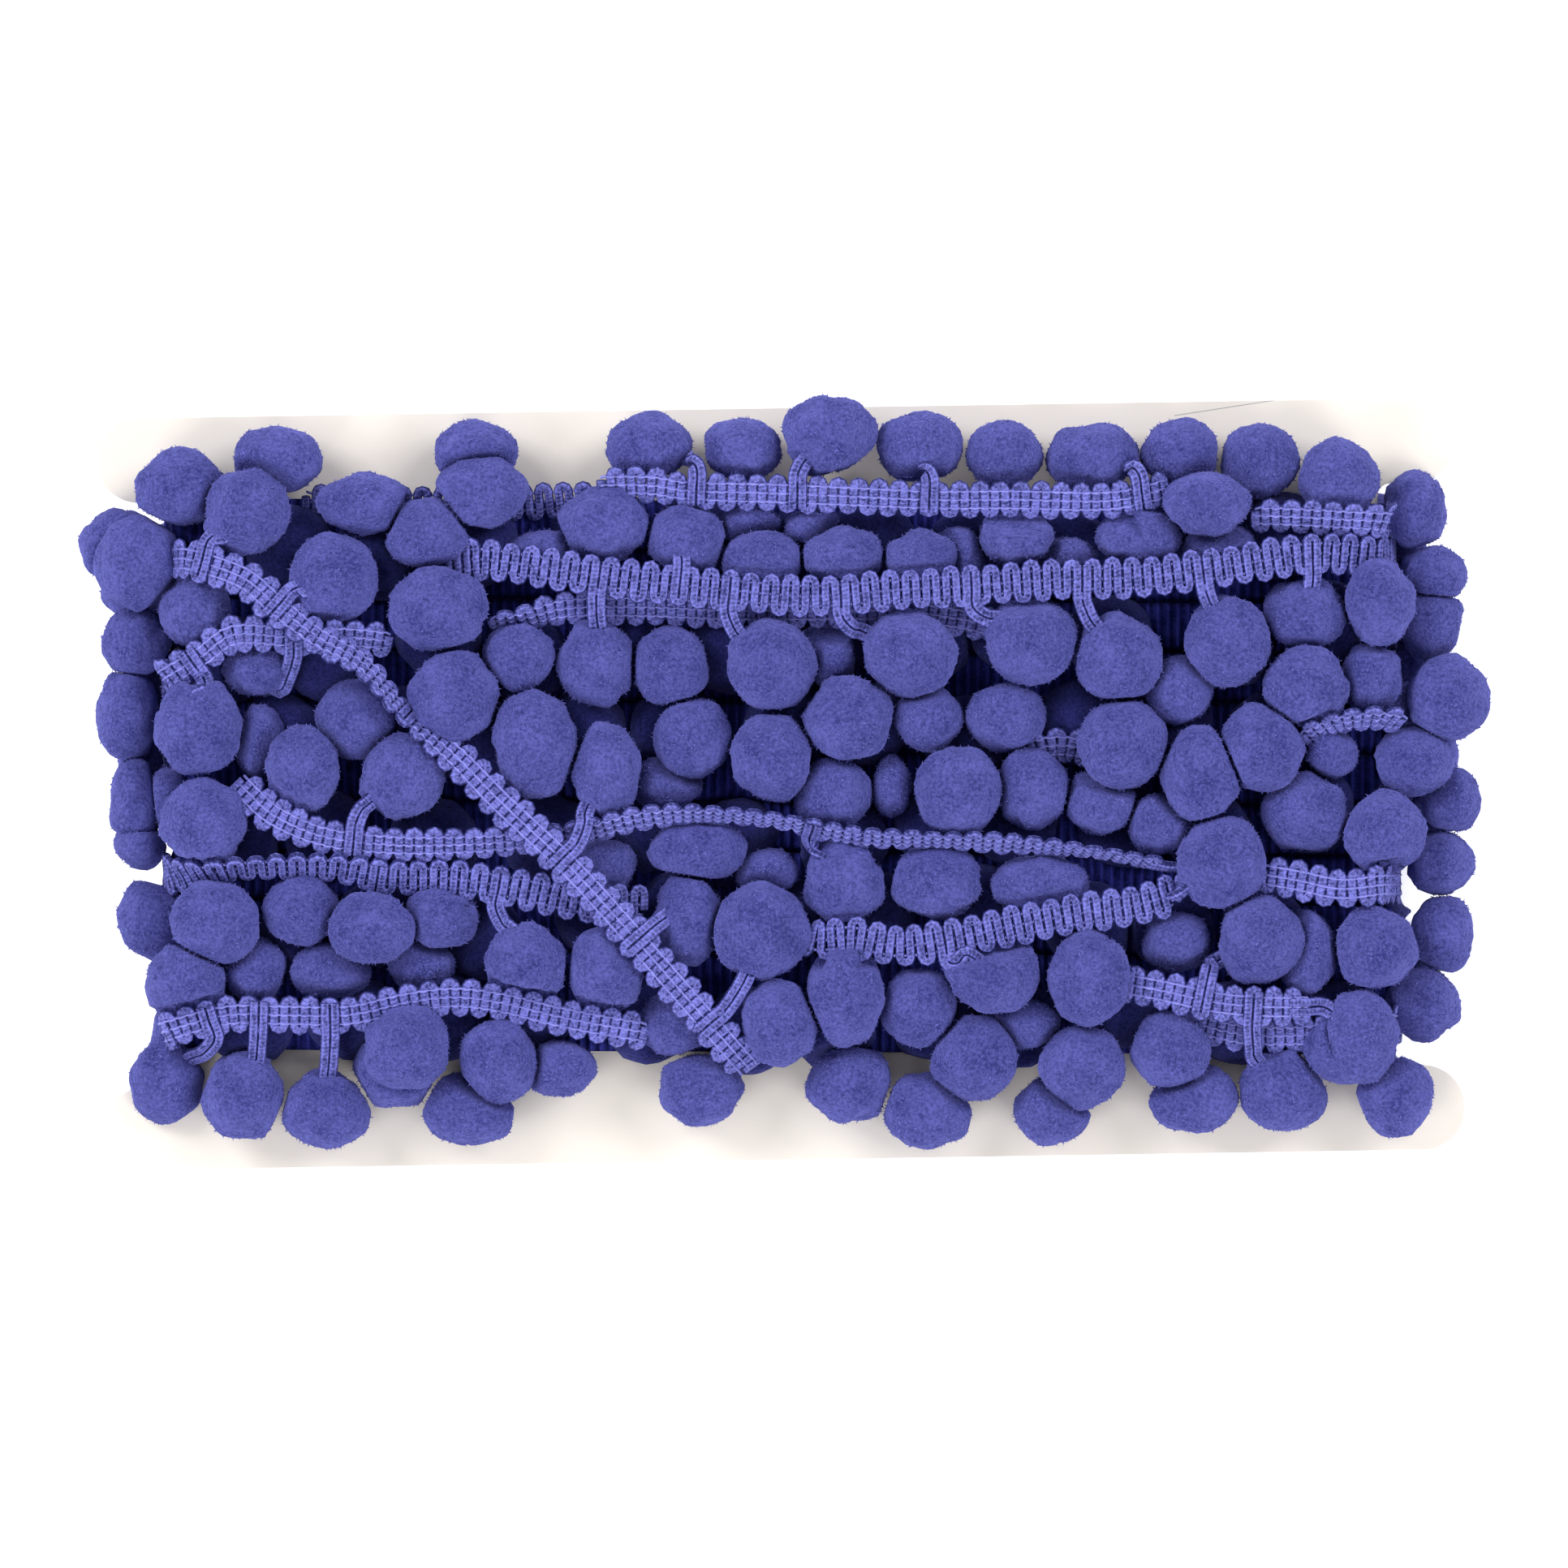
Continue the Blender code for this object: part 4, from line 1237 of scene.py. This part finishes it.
def leg_place(seen_place, lift):
    return np.array((*seen(*seen_place), CARD_FRONT + lift * MM))


def ball_at(place):
    """The pompom whose middle lies nearest to a leg's end."""
    return int(np.linalg.norm((centres - place) / halves, axis=1).argmin())


leg_of = {
    ball_at(leg_place(leg.end, leg.end_lift)): leg_place(leg.start, leg.start_lift)
    for leg in FRONT_LEGS
}
BLANK_FOR = {"front": fine_blank, "side": fine_blank, "back": plain_blank, "under": plain_blank}
print(len(leg_of), "pompoms have a charted leg")

# %% [markdown]
# A soft ball gives way wherever it meets something. Where two pompoms meet, both flatten against
# a plane between them, and the one on top keeps more of its form. The runs of braid, the card
# and the table press too. Cloth simulation could do this, but a smooth formula is quick and
# gives the same form each time.

# %% Pressing
PRESS_SOFTNESS = 0.17 * MM
PRESS_GAP = 0.2 * MM
SIDE_PRESS_GAP = 0.03 * MM
PRESSED_LEAST = 0.5
NEIGHBOURS = 15
NEIGHBOUR_REACH = 13 * MM
# The share of an overlap that a ball gives up grows as its neighbour lies higher
SHARE_RISE = 6 * MM
SHARE_LEAST, SHARE_MOST = 0.15, 0.85

RUN_PRESS = 0.75 * MM
RUN_REACH = 9 * MM
RUN_OVER = 0.5 * MM
RUN_HALF = 3.4 * MM
RUN_FADE = 0.8 * MM

CARD_GAP = 0.2 * MM
CARD_MARGIN = 2 * MM
TABLE_GAP = 0.02 * MM
TABLE_SOFTNESS = 0.12 * MM


def pressed(points, origin, direction, limit, softness=PRESS_SOFTNESS):
    """Moves points back, softly, where they pass a plane at `limit` along a direction."""
    reach = (points - origin) @ direction
    held = -softness * np.logaddexp(-reach / softness, -limit / softness)
    return points + (held - reach)[:, None] * direction


def radius_towards(half, direction):
    return 1.0 / math.sqrt(float(((direction / half) ** 2).sum()))


def press_by_neighbours(points, number):
    """Flattens a ball against a plane between it and each ball that it meets."""
    centre = centres[number]
    gaps = centres - centre
    distances = np.linalg.norm(gaps, axis=1)
    for other in np.argsort(distances)[1:NEIGHBOURS + 1]:
        if distances[other] >= NEIGHBOUR_REACH:
            continue
        direction = gaps[other] / distances[other]
        reach = radius_towards(halves[number], direction)
        overlap = reach + radius_towards(halves[other], direction) - distances[other]
        both_side = pompoms[number].side == pompoms[other].side == "side"
        space = SIDE_PRESS_GAP if both_side else PRESS_GAP
        if overlap > -space:
            lift = abs(centres[other][2] - CARD_MIDDLE) - abs(centre[2] - CARD_MIDDLE)
            share = min(max(0.5 + lift / SHARE_RISE, SHARE_LEAST), SHARE_MOST)
            limit = max(reach - share * overlap, PRESSED_LEAST * reach) - space
            points = pressed(points, centre, direction, limit)
    return points


def press_by_run(points, centre, frames):
    """Flattens a ball under a band of braid that lies over it."""
    line, _, across, out = frames
    if np.linalg.norm(line - centre, axis=1).min() > RUN_REACH:
        return points
    # Every second point of the line is near enough
    nearest = np.linalg.norm(points[:, None, :] - line[None, ::2, :], axis=2).argmin(axis=1) * 2
    nearest = np.minimum(nearest, len(line) - 1)
    offset = points - line[nearest]
    sideways = np.abs((offset * across[nearest]).sum(1))
    height = (offset * out[nearest]).sum(1)
    centre_height = ((centre - line[nearest]) * out[nearest]).sum(1)
    under = (centre_height < -RUN_OVER) & (sideways < RUN_HALF) & (height > -RUN_PRESS)
    under &= (nearest > 0) & (nearest < len(line) - 2)
    fade = np.clip((RUN_HALF - sideways) / RUN_FADE, 0.0, 1.0)
    drop = np.where(under, (height + RUN_PRESS) * fade, 0.0)
    return points - drop[:, None] * out[nearest]


def press_by_card_and_table(points, centre, pompom):
    up = np.array((0.0, 0.0, 1.0))
    x, y = np.abs(centre[:2])
    over_card = x < CARD_WIDTH / 2 and y < CARD_LENGTH / 2 + CARD_MARGIN
    if pompom.side != "side" and over_card:
        side, face = (1.0, CARD_FRONT) if centre[2] > CARD_MIDDLE else (-1.0, CARD_BACK)
        points = pressed(points, centre, -side * up, side * (centre[2] - face) - CARD_GAP)
    return pressed(points, centre, -up, centre[2] - TABLE_GAP, TABLE_SOFTNESS)


print("a pompom keeps", PRESSED_LEAST, "or more of its reach towards a neighbour")

# %% [markdown]
# Every ball becomes a shell of one of five pieces, by where it lies. One piece for all of them
# would be too large, and the layer against the card needs a finish of its own: the plush
# painted darker as painted shade.

# %% All the pompoms
def shaped_pompom(number):
    """The points of one pompom as it lies in the pile."""
    rng = np.random.default_rng(number)
    pompom = pompoms[number]
    centre, half = centres[number], halves[number]
    points = turned_blank(BLANK_FOR[pompom.side], leg_direction(number)) * half
    points += normalised(points) * lumps(points, rng)[:, None]
    points += normalised(points) * rng.normal(0, FELT_ROUGH, len(points))[:, None]
    points = press_by_neighbours(points + centre, number)
    for frames in front_frames + back_frames:
        points = press_by_run(points, centre, frames)
    return press_by_card_and_table(points, centre, pompom)


shells_of = {piece: Shells() for piece in ("front", "front_top", "side", "back", "under")}
shaped = []
for number, pompom in enumerate(pompoms):
    points = shaped_pompom(number)
    shaped.append(points)
    piece = "front_top" if (pompom.side, pompom.layer) == ("front", "top") else pompom.side
    shells_of[piece].add(points, BLANK_FOR[pompom.side].faces)
# The layer against the card takes the plush painted darker as painted shade
balls = [
    shells.make(f"pompoms_{piece}", plush_painted_shade if piece == "under" else plush)
    for piece, shells in shells_of.items()
]

# %% [markdown]
# ## Legs
# At a pompom the braid's cord doesn't turn at the edge: it runs on to the ball and comes back. So
# a leg is two neighbouring passes that lie across the braid, leave its edge and curve into the
# ball, where they are drawn together.

# %% Legs
LEG_RADIUS = 0.53 * MM
LEG_FLATNESS = 0.9
LEG_STEPS = 14
LEG_RISE = 0.14 * MM
LEG_ONWARD = 1.6
LEG_DRAWN_IN = 0.88
# Bends over the braid as shares of its half width, how far past its edge the leg heads for
# the ball, and how deep in the ball it ends, as a share of the way to the middle
BAND_HALF = 2.3 * MM
LEG_BENDS = (-0.7, 0.2, 1.05)
LEG_HEADS_FOR = 1.5
LEG_SINK = 0.55
LEG_CLEARANCE = 1.2 * LEG_RADIUS
BACK_LEG_REACH = 9.5 * MM
BACK_LEG_LEAST = 4.0 * MM


def nearest_on_runs(point, runs_frames):
    """The run and the place along it that lie nearest to a point."""
    found = []
    for frames in runs_frames:
        gaps = np.linalg.norm(frames[0] - point, axis=1)
        found.append((gaps.min(), frames, int(gaps.argmin())))
    return min(found, key=lambda one: one[0])


def lay_leg(shells, runs_frames, start, end, centre, sides):
    """Two passes of the braid that run on past its edge, and curve into a ball."""
    _, (line, along, across, out), index = nearest_on_runs(start, runs_frames)
    middle, up = line[index], out[index]
    aside, onward = (end - middle) @ across[index], (end - middle) @ along[index]
    over = across[index] * np.sign(aside)
    if abs(onward) > LEG_ONWARD * abs(aside):
        over = along[index] * np.sign(onward)
    rise = up * LEG_RISE
    bends = [middle + over * share * BAND_HALF + rise for share in LEG_BENDS]
    bends.append((middle + over * LEG_HEADS_FOR * BAND_HALF + end) / 2 + rise)
    bends += [end, end + (centre - end) * LEG_SINK]
    path = smooth_line(bends, np.linalg.norm(end - bends[0]) / LEG_STEPS)
    path[:, 2] = np.maximum(path[:, 2], LEG_CLEARANCE)
    forward = normalised(np.gradient(path, axis=0))
    beside = normalised(np.cross(forward, up))
    share = np.linspace(0.0, 1.0, len(path))[:, None]
    for side in (-1.0, 1.0):
        spread = side * PASS_PITCH / 2 * (1.0 - (1.0 - LEG_DRAWN_IN) * share)
        cord_path = path + beside * spread
        tube(shells, cord_path, beside, np.cross(beside, forward), LEG_RADIUS, sides, LEG_FLATNESS)


legs = Shells()
for leg in FRONT_LEGS:
    start = leg_place(leg.start, leg.start_lift)
    end = leg_place(leg.end, leg.end_lift)
    lay_leg(legs, front_frames, start, end, centres[ball_at(end)], FRONT_SIDES)
for number, pompom in enumerate(pompoms):
    if pompom.side != "back":
        continue
    gap, frames, index = nearest_on_runs(centres[number], back_frames)
    start = frames[0][index]
    beside = abs((centres[number] - start) @ frames[2][index])
    if gap < BACK_LEG_REACH and beside > BACK_LEG_LEAST:
        end = centres[number] + normalised(start - centres[number]) * halves[number].mean()
        lay_leg(legs, back_frames, start, end, centres[number], BACK_SIDES)
legs_made = legs.make("pompom_legs", cord)

# %% [markdown]
# ## Loose fibre
# Felt is never quite clean: short fibre ends stand off it and soften its edge. Each end is a
# closed three-sided spike, leaning a little, and a piece holds thousands of them.

# %% Loose fibre
FIBRES_EACH = {"front": 400, "side": 260, "back": 130}
FIBRE_SEED = 1000
FIBRE_THIN = 0.05 * MM
FIBRE_THICK = 0.13 * MM
FIBRE_SHORT = 0.12 * MM
FIBRE_LONG = 0.48 * MM
FIBRE_LEAN = 1.3
# A fibre that stands off its ball by less than the first share is lifted by the second
FIBRE_STANDS = 0.12
FIBRE_LIFTED = 0.9
FIBRE_OUTWARD = -0.25
FIBRE_LIMIT = 196000
SPIKE_FACES = np.array([(0, 1, 3), (1, 2, 3), (2, 0, 3), (2, 1, 0)])


def face_normals(corners):
    return normalised(np.cross(corners[:, 2] - corners[:, 0], corners[:, 3] - corners[:, 1]))


def outer_faces(points, faces):
    """The faces that don't look into the pile."""
    away = outward(points.mean(0, keepdims=True))[0]
    return faces[face_normals(points[faces]) @ away > FIBRE_OUTWARD]


def fibre_spikes(points, faces, count, rng):
    """Spikes on a ball, from random points of its surface."""
    chosen = points[faces[rng.integers(0, len(faces), count)]]
    u, v = rng.uniform(0.0, 1.0, (2, count, 1))
    lower = chosen[:, 0] * (1 - u) + chosen[:, 1] * u
    upper = chosen[:, 3] * (1 - u) + chosen[:, 2] * u
    root = lower * (1 - v) + upper * v
    normal = face_normals(chosen)
    way = normalised(normal + rng.normal(0, FIBRE_LEAN, (count, 3)))
    stands = (way * normal).sum(1, keepdims=True) > FIBRE_STANDS
    way = np.where(stands, way, normalised(way + normal * FIBRE_LIFTED))
    length = rng.uniform(FIBRE_SHORT, FIBRE_LONG, (count, 1))
    side = normalised(np.cross(way, rng.normal(size=(count, 3))))
    other = np.cross(way, side)
    foot = root - way * FIBRE_SHORT / 2
    radius = rng.uniform(FIBRE_THIN, FIBRE_THICK, (count, 1))
    base = [
        foot + radius * (math.cos(angle) * side + math.sin(angle) * other)
        for angle in (0.0, 2 * math.pi / 3, 4 * math.pi / 3)
    ]
    spikes = np.stack([*base, root + way * length], axis=1)
    spikes[:, :, 2] = np.maximum(spikes[:, :, 2], 0.0)
    return spikes


def lay_fibres(side):
    """Loose fibre of one side's balls, in as many pieces as their size asks for."""
    made, shells = [], Shells()
    count = FIBRES_EACH[side]
    for number, pompom in enumerate(pompoms):
        if pompom.side != side:
            continue
        if shells.triangles() > FIBRE_LIMIT - len(SPIKE_FACES) * count:
            made.append(shells.make(f"loose_fibre_{side}_{len(made) + 1}", fuzz))
            shells = Shells()
        rng = np.random.default_rng(FIBRE_SEED + number)
        outer = outer_faces(shaped[number], BLANK_FOR[side].faces)
        spikes = fibre_spikes(shaped[number], outer, count, rng)
        faces = SPIKE_FACES[None, :, :] + 4 * np.arange(count)[:, None, None]
        shells.add(spikes.reshape(-1, 3), faces.reshape(-1, 3))
    made.append(shells.make(f"loose_fibre_{side}_{len(made) + 1}", fuzz))
    return made


fibres = [piece for side in FIBRES_EACH for piece in lay_fibres(side)]

# %% [markdown]
# ## Floor, light and camera
# The part lies on its back on a plain pale floor. Soft light from all round, with four broad
# lamps above, gives dark gaps without hard shadows. The camera looks straight down from far
# away, so that high and low pompoms keep their places, and is turned a little against the card.

# %% Floor, light and camera
FLOOR_SIZE = 6.0
FLOOR_GLOW = 0.5
FLOOR_COLOUR = (0.95, 0.95, 0.95, 1.0)
WHITE = (1.0, 1.0, 1.0, 1.0)
ROOM_LIGHT = 0.48
LAMP_SIZE = 0.7
# Each lamp's place, and its power in watts
LAMPS = {
    "key_light": ((-0.9, 0.7, 1.1), 11.0),
    "second_light": ((0.9, 0.7, 1.1), 8.0),
    "lower_left_light": ((-0.8, -0.8, 1.1), 8.0),
    "lower_right_light": ((0.8, -0.8, 1.1), 7.0),
}

PHOTO_SIDE = 1932.0
SEEN_SIZE = PHOTO_SIDE * SEEN_UNIT
CAMERA_HEIGHT = 2.4
CAMERA_FAR = 10.0
SENSOR_WIDTH = 36.0
FOCUS_PLANE = CARD_FRONT + 6.0 * MM

deselect_all()
bpy.ops.mesh.primitive_plane_add(size=FLOOR_SIZE, location=(0.0, 0.0, 0.0))
floor = bpy.context.object
floor.name = "floor"
floor_finish = finish(
    "floor_white", Roughness=0.9, Base_Color=FLOOR_COLOUR,
    Emission_Color=WHITE, Emission_Strength=FLOOR_GLOW,
)
floor.data.materials.append(floor_finish[0])

world = bpy.data.worlds.new("soft_room")
world.use_nodes = True
room = world.node_tree.nodes["Background"]
room.inputs["Color"].default_value = WHITE
room.inputs["Strength"].default_value = ROOM_LIGHT
bpy.context.scene.world = world

for name, (place, power) in LAMPS.items():
    deselect_all()
    bpy.ops.object.light_add(type="AREA", location=place)
    lamp = bpy.context.object
    lamp.name = name
    lamp.data.size = LAMP_SIZE
    lamp.data.energy = power
    lamp.rotation_mode = "QUATERNION"
    lamp.rotation_quaternion = (-Vector(place)).to_track_quat("-Z", "Y")

deselect_all()
bpy.ops.object.camera_add(location=(0.0, 0.0, CAMERA_HEIGHT))
camera = bpy.context.object
camera.name = "view_from_above"
camera.location.xy = seen(PHOTO_SIDE / 2, PHOTO_SIDE / 2)
camera.rotation_euler = (0.0, 0.0, -SEEN_TURN)
camera.data.sensor_width = SENSOR_WIDTH
camera.data.lens = SENSOR_WIDTH * (CAMERA_HEIGHT - FOCUS_PLANE) / SEEN_SIZE
camera.data.clip_end = CAMERA_FAR
bpy.context.scene.camera = camera
bpy.context.scene.view_settings.view_transform = "Standard"
print("the camera takes in", round(SEEN_SIZE / MM, 1), "mm")

# %% [markdown]
# ## Hand-over
# The plain solid of the wound trim is hidden, and the wound pieces stand for it.

# %% Hand-over
braids = (grid_front, loops_front, threads_front, braid_back, threads_back)
for piece in (*balls, *braids, sleeve, deep_turns, legs_made, *fibres):
    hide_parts("wound_trim")
